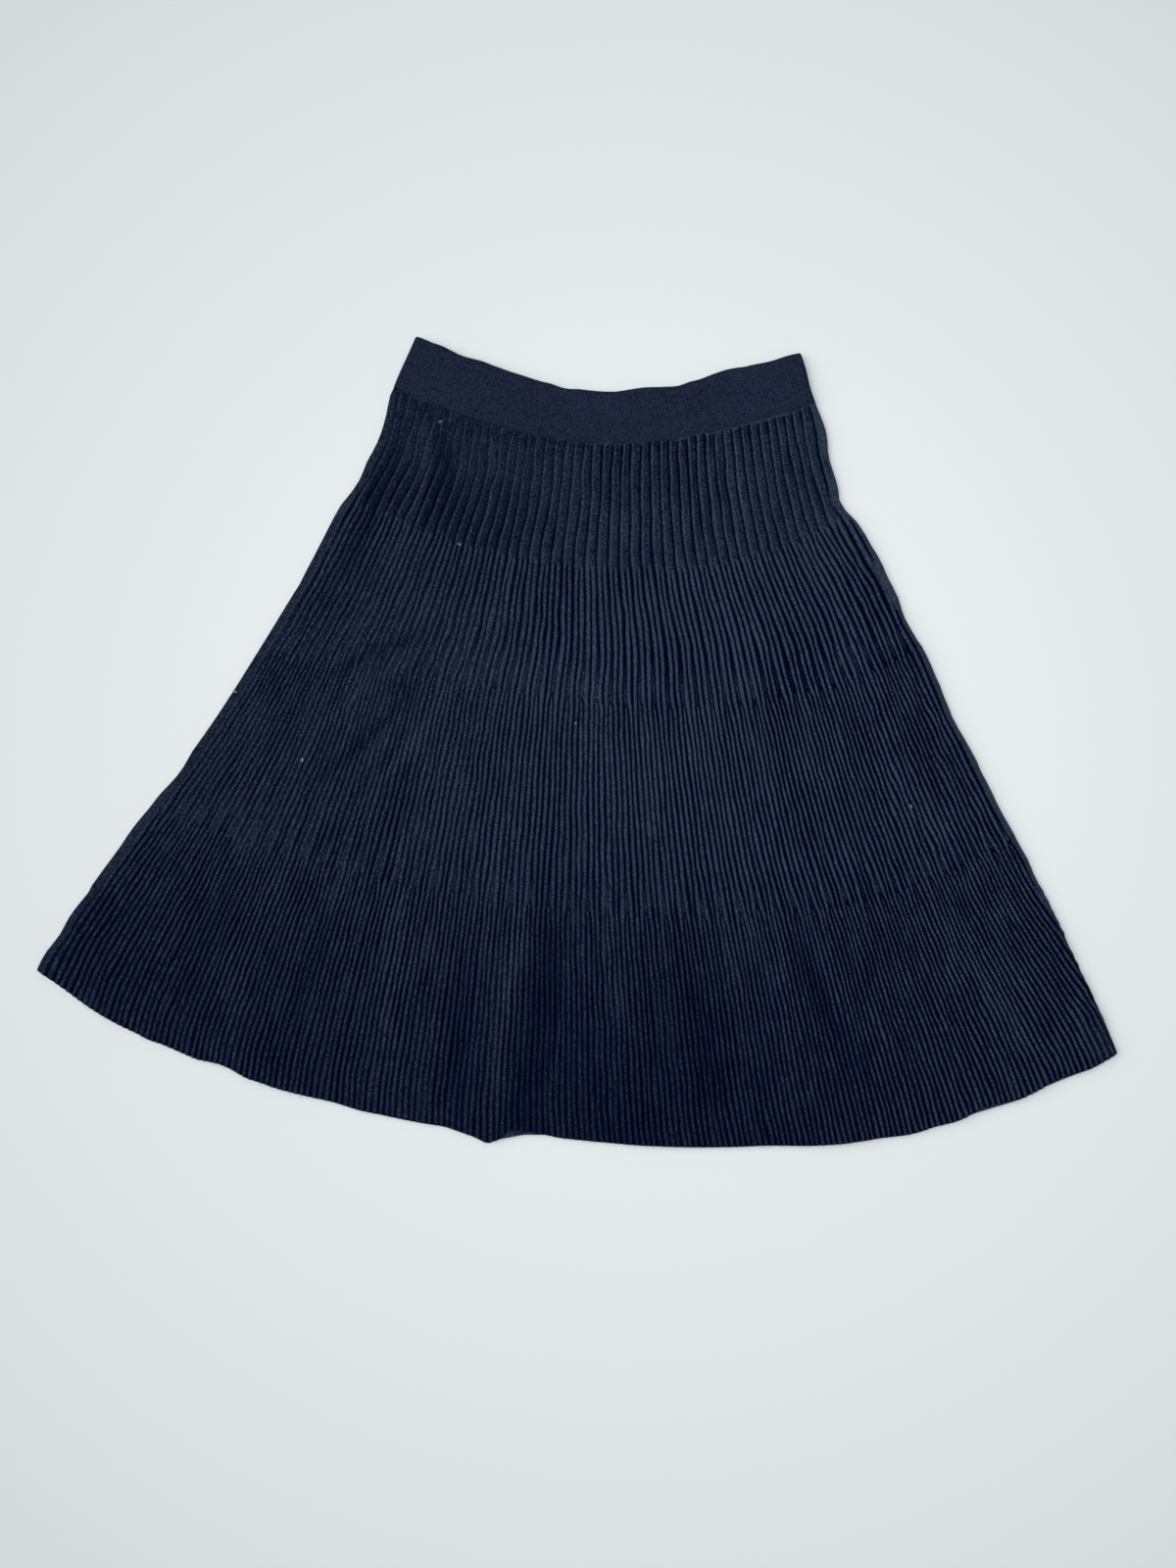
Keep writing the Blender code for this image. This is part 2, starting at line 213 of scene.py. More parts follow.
EDGE_TOUCHES = {
    Edge.WAIST: (
        EdgeTouch(-102.7, 8.0, 0.7), EdgeTouch(-79.4, 13.0, -1.2), EdgeTouch(-22.6, 9.0, -1.0),
        EdgeTouch(20.0, 16.0, 1.4), EdgeTouch(39.8, 7.0, -0.7), EdgeTouch(64.3, 14.0, 1.5),
        EdgeTouch(89.4, 11.0, -0.8),
    ),
    Edge.LEFT: (
        EdgeTouch(181.2, 7.0, 0.7), EdgeTouch(132.2, 15.0, -2.5), EdgeTouch(74.6, 9.0, -0.5),
        EdgeTouch(-30.6, 14.0, -1.8), EdgeTouch(-61.1, 13.0, 0.8), EdgeTouch(-98.2, 6.0, -0.9),
        EdgeTouch(-120.1, 9.0, -1.2), EdgeTouch(-136.8, 11.0, 1.2),
    ),
    Edge.RIGHT: (
        EdgeTouch(196.0, 13.0, -1.0), EdgeTouch(172.4, 15.0, 1.9), EdgeTouch(133.5, 10.5, -2.5),
        EdgeTouch(117.0, 18.0, 2.3), EdgeTouch(102.5, 9.0, 1.3), EdgeTouch(61.5, 5.0, -0.5),
        EdgeTouch(72.2, 12.0, -1.5), EdgeTouch(50.1, 16.0, 1.3), EdgeTouch(17.6, 10.0, -0.9),
        EdgeTouch(-30.2, 12.0, -0.6), EdgeTouch(-79.7, 14.0, 0.8), EdgeTouch(36.4, 7.0, 0.7),
        EdgeTouch(-2.0, 7.0, 0.7), EdgeTouch(-55.8, 7.0, 0.7), EdgeTouch(-92.5, 6.0, 1.1),
        EdgeTouch(-136.3, 6.0, 0.7),
    ),
    Edge.HEM: (
        EdgeTouch(-250.8, 34.0, 1.6), EdgeTouch(-187.0, 16.0, -2.6), EdgeTouch(-80.2, 46.0, 1.6),
        EdgeTouch(-227.5, 8.0, 0.6), EdgeTouch(-168.1, 10.0, -0.5), EdgeTouch(-114.3, 15.0, 0.8),
        EdgeTouch(-45.0, 6.5, 1.5), EdgeTouch(-41.5, 9.0, 3.6), EdgeTouch(-38.0, 4.5, 1.2),
        EdgeTouch(-30.0, 6.0, -1.1), EdgeTouch(-26.0, 9.0, -1.3), EdgeTouch(-14.8, 11.0, -1.0),
        EdgeTouch(108.0, 22.0, -0.5), EdgeTouch(238.0, 13.0, -1.0), EdgeTouch(180.5, 15.0, 1.4),
        EdgeTouch(220.8, 17.0, -3.2), EdgeTouch(257.9, 20.0, -3.2),
    ),
}
EDGE_REACH = 26.0
STANDS_OUT = {Edge.WAIST: 0.0, Edge.LEFT: 0.9, Edge.RIGHT: 0.6, Edge.HEM: 0.25}


@dataclass(frozen=True)
class Furrow:
    """A furrow of the repeat through the four tiers: its place, depth and half width, in shares of a repeat.

    Two furrows that share a place look like one. Where they part, a new rib grows between them.
    """

    name: str
    places: tuple[float, float, float, float]
    depths: tuple[float, float, float, float]
    widths: tuple[float, float, float, float]


OUTER_DEPTHS = (0.74, 1.0, 1.0, 0.97)
OUTER_WIDTHS = (0.12, 0.15, 0.088, 0.072)
MIDDLE_DEPTHS = (0.0, 1.0, 1.0, 0.97)
MIDDLE_WIDTHS = (0.05, 0.105, 0.088, 0.072)
FURROWS = (
    Furrow("right of the first rib", (0.0, 0.0, 1 / 6, 1 / 8), OUTER_DEPTHS, OUTER_WIDTHS),
    Furrow("left of the first rib", (1.0, 1.0, 5 / 6, 7 / 8), OUTER_DEPTHS, OUTER_WIDTHS),
    Furrow("left of the middle", (0.5, 0.5, 0.5, 3 / 8), MIDDLE_DEPTHS, MIDDLE_WIDTHS),
    Furrow("right of the middle", (0.5, 0.5, 0.5, 5 / 8), MIDDLE_DEPTHS, MIDDLE_WIDTHS),
)
RIB_HEIGHTS = (1.2, 1.15, 1.05, 1.05)

# A table of places and the values there
Table = tuple[tuple[float, float], ...]

# How far the ribs in the middle drift to the right, by the distance down the middle: they don't follow every
# wobble of the sides
DRIFT: Table = (
    (28.5, 0.0), (47.0, -0.7), (74.0, -0.4), (102.0, 0.9), (128.0, 1.8), (154.0, 4.2), (181.0, 6.0),
    (212.0, 6.2), (243.0, 7.0), (274.0, 9.0), (304.0, 11.3), (333.0, 13.5), (362.0, 15.8), (405.5, 19.0),
)


def smooth_step(x: np.ndarray | float, low: float, high: float) -> np.ndarray:
    """A smooth rise from 0 at low to 1 at high."""
    t = np.clip((np.asarray(x, dtype=float) - low) / (high - low), 0.0, 1.0)
    return t * t * (3 - 2 * t)


def smooth_curve(table: Table, x: np.ndarray) -> np.ndarray:
    """Reads a smooth curve through the points of a table.

    Args:
        table: rising places and the curve's value at each.
        x: where it is read.

    Returns:
        The values at x.
    """
    xs, ys = (np.array(column) for column in zip(*table))
    slopes = np.empty_like(ys)
    slopes[1:-1] = (ys[2:] - ys[:-2]) / (xs[2:] - xs[:-2])
    slopes[0] = (ys[1] - ys[0]) / (xs[1] - xs[0])
    slopes[-1] = (ys[-1] - ys[-2]) / (xs[-1] - xs[-2])
    x = np.clip(x, xs[0], xs[-1])
    i = np.clip(np.searchsorted(xs, x) - 1, 0, len(xs) - 2)
    width = xs[i + 1] - xs[i]
    t = (x - xs[i]) / width
    return (
        (2 * t**3 - 3 * t**2 + 1) * ys[i]
        + (t**3 - 2 * t**2 + t) * width * slopes[i]
        + (3 * t**2 - 2 * t**3) * ys[i + 1]
        + (t**3 - t**2) * width * slopes[i + 1]
    )


def straight_lines(table: Table, x: np.ndarray) -> np.ndarray:
    """Reads a table with straight lines between its points."""
    return np.interp(x, *zip(*table))


def bell(distance: np.ndarray, width: float) -> np.ndarray:
    """A smooth hump that is 1 in its middle and 0 past its width."""
    ratio = np.minimum(np.abs(distance) / width, 1.0)
    return (1 - ratio * ratio) ** 2


@dataclass(frozen=True)
class Ramp:
    """A smooth change that starts at one place and ends at another."""

    start: float
    end: float

    def rise(self, x: np.ndarray | float) -> np.ndarray:
        """From 0 before the start to 1 past the end."""
        return smooth_step(x, self.start, self.end)

    def fall(self, x: np.ndarray | float) -> np.ndarray:
        """From 1 before the start to 0 past the end."""
        return 1 - smooth_step(x, self.start, self.end)


class Waver:
    """Smooth seeded unevenness over the cloth, from -size to size."""

    LATTICE = 96

    def __init__(self, seed: int, cell_x: float, cell_y: float, size: float = 1.0) -> None:
        """Makes the lattice.

        Args:
            seed: the seed of the draws.
            cell_x: the size of a cell along x, in millimetres.
            cell_y: the size of a cell along y.
            size: the most that it gives.
        """
        self.values = np.random.default_rng(seed).uniform(-1, 1, (self.LATTICE, self.LATTICE))
        self.cell_x = cell_x
        self.cell_y = cell_y
        self.size = size

    def read(self, x: np.ndarray, y: np.ndarray) -> np.ndarray:
        """Reads the unevenness.

        Args:
            x: places along x, in millimetres.
            y: places along y.

        Returns:
            The values, shaped as the places.
        """
        u = np.asarray(x, dtype=float) / self.cell_x
        v = np.asarray(y, dtype=float) / self.cell_y
        i, j = np.floor(u).astype(int), np.floor(v).astype(int)
        s, t = smooth_step(u - i, 0, 1), smooth_step(v - j, 0, 1)
        i0, i1 = i % self.LATTICE, (i + 1) % self.LATTICE
        j0, j1 = j % self.LATTICE, (j + 1) % self.LATTICE
        upper = self.values[i0, j0] * (1 - s) + self.values[i1, j0] * s
        lower = self.values[i0, j1] * (1 - s) + self.values[i1, j1] * s
        return self.size * (upper * (1 - t) + lower * t)


class SkirtPlan:
    """Where the cloth lies in plan, and how high its folds lift it, worked out from the tables.

    Places across run from -1 at the left fold to 1 at the right one. Places down are distances down the
    middle from the waist edge.
    """

    HEIGHT_COLUMNS = ("at_left", "left_quarter", "middle", "right_quarter", "at_right")
    LENGTH_STEPS = 49
    CREASE_STEPS = 14
    CREASE_END_POWER = 0.8

    def __init__(self) -> None:
        """Reads the section table into columns and finds the middle of the length."""
        names = ("left", "right", *self.HEIGHT_COLUMNS)
        self.columns = {name: tuple((s.down, getattr(s, name)) for s in SECTIONS) for name in names}
        across = np.linspace(-1, 1, self.LENGTH_STEPS)
        top = self.row_height(across, np.zeros_like(across)).max()
        bottom = self.row_height(across, np.full_like(across, HEM)).min()
        self.length_middle = (top + bottom) / 2

    def column(self, name: str, down: np.ndarray) -> np.ndarray:
        """One column of the section table, at any distance down the middle."""
        return smooth_curve(self.columns[name], down)

    def half_width(self, down: np.ndarray) -> np.ndarray:
        """Half the skirt's width at a row."""
        return (self.column("right", down) - self.column("left", down)) / 2

    def row_height(self, across: np.ndarray, down: np.ndarray) -> np.ndarray:
        """The place of a row along the skirt, by a curve of fourth degree through its five heights.

        Args:
            across: places across.
            down: places down.

        Returns:
            The places along y, before the middle of the length is taken off.
        """
        step = 2 * (across + 1)
        total = 0.0
        for i, name in enumerate(self.HEIGHT_COLUMNS):
            weight = 1.0
            for j in range(len(self.HEIGHT_COLUMNS)):
                if j != i:
                    weight = weight * (step - j) / (i - j)
            total = total + weight * self.column(name, down)
        return total

    def place(self, across: np.ndarray, down: np.ndarray) -> tuple[np.ndarray, np.ndarray]:
        """Where points of the cloth lie in plan.

        Args:
            across: places across.
            down: places down.

        Returns:
            Their x and y.
        """
        y = self.row_height(across, down) - self.length_middle
        return self.settle(across, down, self.smooth_x(across, down), y)

    def smooth_x(self, across: np.ndarray, down: np.ndarray) -> np.ndarray:
        """The place along x before the edges settle."""
        left, right = self.column("left", down), self.column("right", down)
        return left + (across + 1) / 2 * (right - left)

    def settle(self, across: np.ndarray, down: np.ndarray, x: np.ndarray, y: np.ndarray) -> tuple:
        """Moves the cloth near the edges as the edge touches say.

        Args:
            across: places across.
            down: places down.
            x: smooth places in plan.
            y: smooth places in plan.

        Returns:
            The settled x and y.
        """
        half = self.half_width(down)
        from_edge = {Edge.WAIST: down, Edge.HEM: HEM - down, Edge.LEFT: (1 + across) * half,
                     Edge.RIGHT: (1 - across) * half}
        out = {}
        for edge, touches in EDGE_TOUCHES.items():
            along = y if edge in (Edge.LEFT, Edge.RIGHT) else x
            bulge = sum(touch.out * bell(along - touch.at, touch.width) for touch in touches)
            out[edge] = bell(from_edge[edge], EDGE_REACH) * (bulge + STANDS_OUT[edge])
        return x + (out[Edge.RIGHT] - out[Edge.LEFT]), y + (out[Edge.WAIST] - out[Edge.HEM])

    def hem_drop(self, across: np.ndarray, down: np.ndarray) -> np.ndarray:
        """How much lower the cloth hangs near the hem, where a fold ends on it.

        Args:
            across: places across.
            down: places down.

        Returns:
            The drop at each place.
        """
        near = np.maximum(0.0, 1 - (HEM - down) / HEM_DROP_LENGTH) ** 2
        drop = sum(f.drop * bell((across - f.across_end) * self.half_width(down), f.width) for f in FOLDS)
        return drop * near

    def waves(self, across: np.ndarray, down: np.ndarray) -> np.ndarray:
        """The lift of the broad folds, as in the solids.

        Args:
            across: places across.
            down: places down.

        Returns:
            The lift at each place.
        """
        total = np.zeros(np.broadcast(across, down).shape)
        half = self.half_width(down)
        for fold in FOLDS:
            share = np.clip((down - fold.down_start) / (fold.down_end - fold.down_start), 0, 1)
            centre = fold.across_start + share * (fold.across_end - fold.across_start)
            total = total + fold.lift * np.sin(np.pi * share) * bell((across - centre) * half, fold.width)
        return np.minimum(total, MOST_LIFT)

    def creases(self, x: np.ndarray, y: np.ndarray) -> np.ndarray:
        """The height of the listed ridges and troughs.

        Args:
            x: places in plan.
            y: places in plan.

        Returns:
            Their sum at each place.
        """
        total = np.zeros_like(x)
        for crease in CREASES:
            line = self.crease_line(crease)
            low, high = line.min(axis=0) - crease.width, line.max(axis=0) + crease.width
            near = (x > low[0]) & (x < high[0]) & (y > low[1]) & (y < high[1])
            if near.any():
                total[near] += self.crease_height(crease, line, x[near], y[near])
        return total

    def crease_line(self, crease: Crease) -> np.ndarray:
        """The smooth line of a crease.

        Args:
            crease: the crease.

        Returns:
            Points of the line through its three places.
        """
        t = np.linspace(0, 1, self.CREASE_STEPS + 1)[:, None]
        start, bend, end = (np.array(p) for p in (crease.start, crease.bend, crease.end))
        return start * (1 - t) * (1 - 2 * t) + bend * 4 * t * (1 - t) + end * t * (2 * t - 1)

    def crease_height(self, crease: Crease, line: np.ndarray, x: np.ndarray, y: np.ndarray) -> np.ndarray:
        """The height of one crease at some places.

        Args:
            crease: the crease.
            line: the points of its line.
            x: places in plan.
            y: places in plan.

        Returns:
            Its height at each place.
        """
        nearest = np.full(x.shape, np.inf)
        along = np.zeros(x.shape)
        for k in range(len(line) - 1):
            a, b = line[k], line[k + 1]
            step = b - a
            t = np.clip(((x - a[0]) * step[0] + (y - a[1]) * step[1]) / (step @ step), 0, 1)
            distance = np.hypot(x - a[0] - t * step[0], y - a[1] - t * step[1])
            closer = distance < nearest
            nearest = np.where(closer, distance, nearest)
            along = np.where(closer, (k + t) / (len(line) - 1), along)
        return crease.height * np.sin(np.pi * along) ** self.CREASE_END_POWER * bell(nearest, crease.width)


class RibKnit:
    """The rib profile of the four tiers, its branching furrows, and its unevenness.

    Before a new rib starts, the furrow that it starts in widens into a ditch with a shallow floor. Places
    across are in repeats, and widths across are shares of one.
    """

    START_SEED = 11
    START_SPREAD = 0.9
    START_ABOVE = 1.2
    LEAST_STRENGTH = 0.78
    FADING = Waver(9, 1.0, 15.0, 0.16)
    SPLIT_LENGTH = 2.6
    SPLIT_POWER = 2.2
    DITCH_CENTRES = (0.0, 0.5)
    DITCH_LENGTHS = (52.0, 30.0)
    DITCH_FULL = 4.0
    DITCH_SHARE = 0.85
    DITCH_SHALLOWER = 0.36
    DITCH_NARROWER = 0.5
    SETTLE_LENGTH = 14.0
    FLOOR = 0.74
    FLOOR_EDGE = (-0.07, 0.02)
    FLOOR_FULL = 0.05
    TIP_PLACE = -0.6
    TIP_LENGTH = 2.4
    TIP_DEPTH = 0.26
    LEFT_SIDE = Ramp(0.18, 0.5)
    LEFT_WIDER = 0.1
    LEFT_FLATTER = 0.06
    YOKE_RIB = Ramp(0.22, 0.42)
    YOKE_FLATTER = 0.35
    WALES = (6.0, 6.0, 9.0, 12.0)
    WALE_SHIFTS = (0.5, 0.5, 0.0, 0.0)
    COURSE = 0.85

    def __init__(self) -> None:
        """Draws how far each repeat's new ribs start above or below the tier's end."""
        rng = np.random.default_rng(self.START_SEED)
        self.starts = rng.normal(0.0, self.START_SPREAD, (len(TIER_ENDS), REPEATS + 1))
        self.strength = rng.uniform(self.LEAST_STRENGTH, 1.0, (len(FURROWS) * (REPEATS + 2),))

    def start(self, tier: int, repeat: np.ndarray) -> np.ndarray:
        """Where the new ribs start at a tier's end, in each repeat."""
        return TIER_ENDS[tier] + self.starts[tier][repeat] - self.START_ABOVE

    def tier_mix(self, down: np.ndarray, repeat: np.ndarray) -> np.ndarray:
        """How far the rows have gone from tier to tier.

        Args:
            down: distances down the middle.
            repeat: the number of the repeat.

        Returns:
            0 in the first tier, rising by 1 at each tier's end.
        """
        mix = np.zeros(np.broadcast(down, repeat).shape)
        for tier in range(len(TIER_ENDS)):
            t = np.clip((down - self.start(tier, repeat)) / self.SPLIT_LENGTH, 0, 1)
            mix = mix + 1 - (1 - t) ** self.SPLIT_POWER
        return mix

    def spread(self, down: np.ndarray) -> np.ndarray:
        """How far the furrows have moved to their next places, mostly while a ditch widens.

        Args:
            down: distances down the middle.

        Returns:
            1 in the first two tiers, rising by 1 towards and just past each later tier's end.
        """
        mix = 1.0
        for end, length in zip(TIER_ENDS[1:], self.DITCH_LENGTHS):
            mix = mix + self.DITCH_SHARE * smooth_step(down, end - length, end)
            mix = mix + (1 - self.DITCH_SHARE) * smooth_step(down, end, end + self.SETTLE_LENGTH)
        return mix

    def read(self, values: tuple[float, ...], mix: np.ndarray) -> np.ndarray:
        """A value that each tier gives, blended by the mix."""
        return np.interp(mix, np.arange(len(values)), values)

    def off_whole(self, place: np.ndarray) -> np.ndarray:
        """How far a place across is from the nearest whole repeat."""
        return np.abs((place + 0.5) % 1.0 - 0.5)

    def profile(self, position: np.ndarray, down: np.ndarray) -> np.ndarray:
        """The rib's height as a share, from 0 in a furrow to 1 on a rib.

        Args:
            position: the place across in repeats, from 0 to 48.
            down: distances down the middle.

        Returns:
            The share at each point.
        """
        repeat = np.clip(np.floor(position).astype(int), 0, REPEATS)
        phase = position - repeat
        spread = self.spread(down)
        split = self.tier_mix(down, repeat)
        yoke = 1 - smooth_step(split, 0, 1)
        left = self.LEFT_SIDE.fall(position / REPEATS) * yoke
        deepest = np.zeros(np.broadcast(position, down).shape)
        floor = np.ones(deepest.shape)
        for pair, (centre, end) in enumerate(zip(self.DITCH_CENTRES, TIER_ENDS[1:])):
            unborn = 1 - np.clip(split - 1 - pair, 0, 1)
            ditch = smooth_step(down, end - self.DITCH_LENGTHS[pair], end - self.DITCH_FULL) * unborn
            edge = self.off_whole(self.read(FURROWS[2 * pair].places, spread) - centre)
            inner, outer = (edge + step for step in self.FLOOR_EDGE)
            within = (1 - smooth_step(self.off_whole(phase - centre), inner, outer)) * unborn
            tip = bell(down - self.start(pair + 1, repeat) - self.TIP_PLACE, self.TIP_LENGTH)
            sunk = 1 - self.FLOOR + self.TIP_DEPTH * tip
            floor = floor * (1 - within * sunk * np.clip(edge / self.FLOOR_FULL, 0, 1))
            for number in (2 * pair, 2 * pair + 1):
                furrow = FURROWS[number]
                line = len(FURROWS) * repeat + number
                faded = 1 - self.FADING.size + self.FADING.read(line, down)
                strength = self.strength[line % len(self.strength)] * faded
                depth = self.read(furrow.depths, split) * strength * (1 - self.DITCH_SHALLOWER * ditch)
                width = self.read(furrow.widths, split) * (1 - self.DITCH_NARROWER * ditch)
                width = width * (1 + self.LEFT_WIDER * left)
                place = self.read(furrow.places, spread)
                for turn in (-1, 0, 1):
                    deepest = np.maximum(deepest, depth * np.exp(-(((phase - place - turn) / width) ** 2)))
        fall = yoke * (self.YOKE_FLATTER + self.LEFT_FLATTER * left) * self.YOKE_RIB.rise(phase)
        return np.clip(1 - deepest, 0.0, 1.0) * floor * (1 - fall)

    def height(self, down: np.ndarray) -> np.ndarray:
        """How high a full rib stands above its furrows."""
        mix = self.tier_mix(down, np.zeros(np.shape(down), dtype=int))
        return self.read(RIB_HEIGHTS, mix)

    def wales(self, position: np.ndarray, rows: np.ndarray) -> np.ndarray:
        """The stitch numbers across, which change from tier to tier.

        Args:
            position: places across in repeats.
            rows: distances down the middle.

        Returns:
            For each strip between two rows, the numbers along its upper and its lower row.
        """
        wales = np.empty((len(rows) - 1, 2, len(position)))
        for r, middle in enumerate((rows[1:] + rows[:-1]) / 2):
            tier = int(np.searchsorted(TIER_ENDS, middle))
            wales[r] = position * self.WALES[tier] + self.WALE_SHIFTS[tier]
        return wales


# ---------------------------------------------------------------------------------------------------------
# Meshes
# ---------------------------------------------------------------------------------------------------------


def put_in_scene(name: str, data: bpy.types.ID) -> bpy.types.Object:
    """Makes an object and links it to the scene.

    Args:
        name: its name.
        data: its mesh, light or camera.

    Returns:
        The object.
    """
    made = bpy.data.objects.new(name, data)
    bpy.context.scene.collection.objects.link(made)
    return made


@dataclass
class Border:
    """An edge of a grid: its points and where each lies along the edge."""

    ids: list[int]
    at: list[float]

    @classmethod
    def even(cls, ids: np.ndarray, length: float = 1.0) -> "Border":
        """A border whose points lie evenly along its length."""
        return cls(ids.tolist(), np.linspace(0, length, len(ids)).tolist())


@dataclass
class ClothMesh:
    """Points, faces, stitch coordinates and painted shade of a piece of cloth, in millimetres."""

    points: list[np.ndarray] = field(default_factory=list)
    shades: list[np.ndarray] = field(default_factory=list)
    faces: list[tuple[int, ...]] = field(default_factory=list)
    stitches: list[tuple[float, float]] = field(default_factory=list)
    count: int = 0

    def grid(self, x: np.ndarray, y: np.ndarray, z: np.ndarray,
             shade: np.ndarray | float = 0.0) -> np.ndarray:
        """Adds a grid of points.

        Args:
            x: their places.
            y: their places.
            z: their heights.
            shade: the painted shade at each point, from 0 to 1, most of it in the furrows.

        Returns:
            The points' numbers, shaped as the grid.
        """
        stack = np.stack(np.broadcast_arrays(x, y, z), axis=-1)
        ids = np.arange(self.count, self.count + stack[..., 0].size).reshape(stack.shape[:-1])
        self.points.append(stack.reshape(-1, 3))
        self.shades.append(np.broadcast_to(shade, ids.shape).ravel())
        self.count += ids.size
        return ids

    def skin(self, ids: np.ndarray, wales: np.ndarray, courses: np.ndarray, flip: bool = False) -> None:
        """Adds the faces of a grid.

        Args:
            ids: the grid's points, from the waist down and from left to right.
            wales: the stitch number across at each point, or one row of them for each strip of faces.
            courses: the stitch number down at each row.
            flip: turns the faces over.
        """
        strips = wales.ndim == 3
        for r in range(ids.shape[0] - 1):
            upper, lower = ids[r].tolist(), ids[r + 1].tolist()
            u0 = (wales[r, 0] if strips else wales[r]).tolist()
            u1 = (wales[r, 1] if strips else wales[r + 1]).tolist()
            v0, v1 = float(courses[r]), float(courses[r + 1])
            for c in range(len(upper) - 1):
                face = (upper[c], lower[c], lower[c + 1], upper[c + 1])
                uvs = ((u0[c], v0), (u1[c], v1), (u1[c + 1], v1), (u0[c + 1], v0))
                if flip:
                    face, uvs = face[::-1], uvs[::-1]
                self.faces.append(face)
                self.stitches.extend(uvs)

    def join(self, upper: Border, lower: Border, flip: bool = False) -> None:
        """Joins two borders that may differ in their number of points, always with the nearest next point.

        Args:
            upper: one border.
            lower: the other border.
            flip: turns the faces over.
        """
        a, b, u, v = upper.ids, lower.ids, upper.at, lower.at
        i = j = 0
        while i < len(a) - 1 or j < len(b) - 1:
            next_u = u[i + 1] if i < len(a) - 1 else math.inf
            next_v = v[j + 1] if j < len(b) - 1 else math.inf
            if next_v < next_u:
                face = (a[i], b[j], b[j + 1])
                j += 1
            else:
                face = (a[i], b[j], a[i + 1])
                i += 1
            self.faces.append(face[::-1] if flip else face)
            self.stitches.extend([(next_u if next_u < math.inf else next_v, 0.0)] * 3)

    def close(self, upper: np.ndarray, lower: np.ndarray) -> None:
        """Joins an upper and a lower grid round their rims.

        Args:
            upper: the points of the upper grid.
            lower: the points of the lower grid.
        """
        self.join(Border.even(lower[0]), Border.even(upper[0]))
        self.join(Border.even(upper[-1]), Border.even(lower[-1]))
        self.join(Border.even(upper[:, 0]), Border.even(lower[:, 0]))
        self.join(Border.even(upper[:, -1]), Border.even(lower[:, -1]), flip=True)

    def make(self, name: str, material: bpy.types.Material, smooth_angle: float = 70.0) -> bpy.types.Object:
        """Makes the object.

        Args:
            name: the piece's name.
            material: its finish.
            smooth_angle: faces that meet at a larger angle, in degrees, keep a sharp edge.

        Returns:
            The new object, in the scene.
        """
        mesh = bpy.data.meshes.new(name)
        mesh.from_pydata((np.concatenate(self.points) * MM).tolist(), [], self.faces)
        layer = mesh.uv_layers.new(name="stitches")
        layer.data.foreach_set("uv", np.array(self.stitches, dtype=np.float32).ravel())
        # The painted shade of each point goes into the point attribute named furrow, which the finishes read.
        shade = mesh.attributes.new("furrow", "FLOAT", "POINT")
        shade.data.foreach_set("value", np.concatenate(self.shades).astype(np.float32))
        mesh.materials.append(material)
        mesh.shade_smooth()
        mesh.set_sharp_from_angle(angle=math.radians(smooth_angle))
        return put_in_scene(name, mesh)


@dataclass
class Strands:
    """Many fine fibres, joined in one mesh. Sizes in millimetres."""

    points: list[Vector] = field(default_factory=list)
    faces: list[tuple[int, ...]] = field(default_factory=list)
    sides: int = 3
    thinning: float = 0.6

    def add(self, line: list[Vector], radius: float) -> None:
        """Adds one fibre that thins towards its tip.

        Args:
            line: the fibre's points, from its root.
            radius: its radius at the root.
        """
        first = len(self.points)
        for k, point in enumerate(line):
            ahead = line[min(k + 1, len(line) - 1)] - line[max(k - 1, 0)]
            side = ahead.orthogonal().normalized()
            other = ahead.cross(side).normalized()
            thick = radius * (1 - self.thinning * k / (len(line) - 1))
            for n in range(self.sides):
                angle = 2 * math.pi * n / self.sides
                self.points.append(point + thick * (math.cos(angle) * side + math.sin(angle) * other))
        for k in range(len(line) - 1):
            for n in range(self.sides):
                a, b = first + k * self.sides + n, first + k * self.sides + (n + 1) % self.sides
                self.faces.append((a, b, b + self.sides, a + self.sides))
        last = first + (len(line) - 1) * self.sides
        self.faces.append(tuple(reversed(range(first, first + self.sides))))
        self.faces.append(tuple(range(last, last + self.sides)))

    def make(self, name: str, material: bpy.types.Material) -> bpy.types.Object:
        """Makes the joined object.

        Args:
            name: the piece's name.
            material: its finish.

        Returns:
            The new object, in the scene.
        """
        mesh = bpy.data.meshes.new(name)
        mesh.from_pydata([tuple(p * MM) for p in self.points], [], self.faces)
        mesh.materials.append(material)
        mesh.shade_smooth()
        return put_in_scene(name, mesh)


# ---------------------------------------------------------------------------------------------------------
# Finishes
# ---------------------------------------------------------------------------------------------------------

Colour = tuple[float, float, float]


class Effect(Enum):
    """The shader groups that the finishes share."""

    STITCHES = "knit_stitches"
    TONE_AND_PAINTED_SHADE = "wool_tone"
    FIBRES = "wool_fibres"
    STRAND_TONE = "strand_tone"


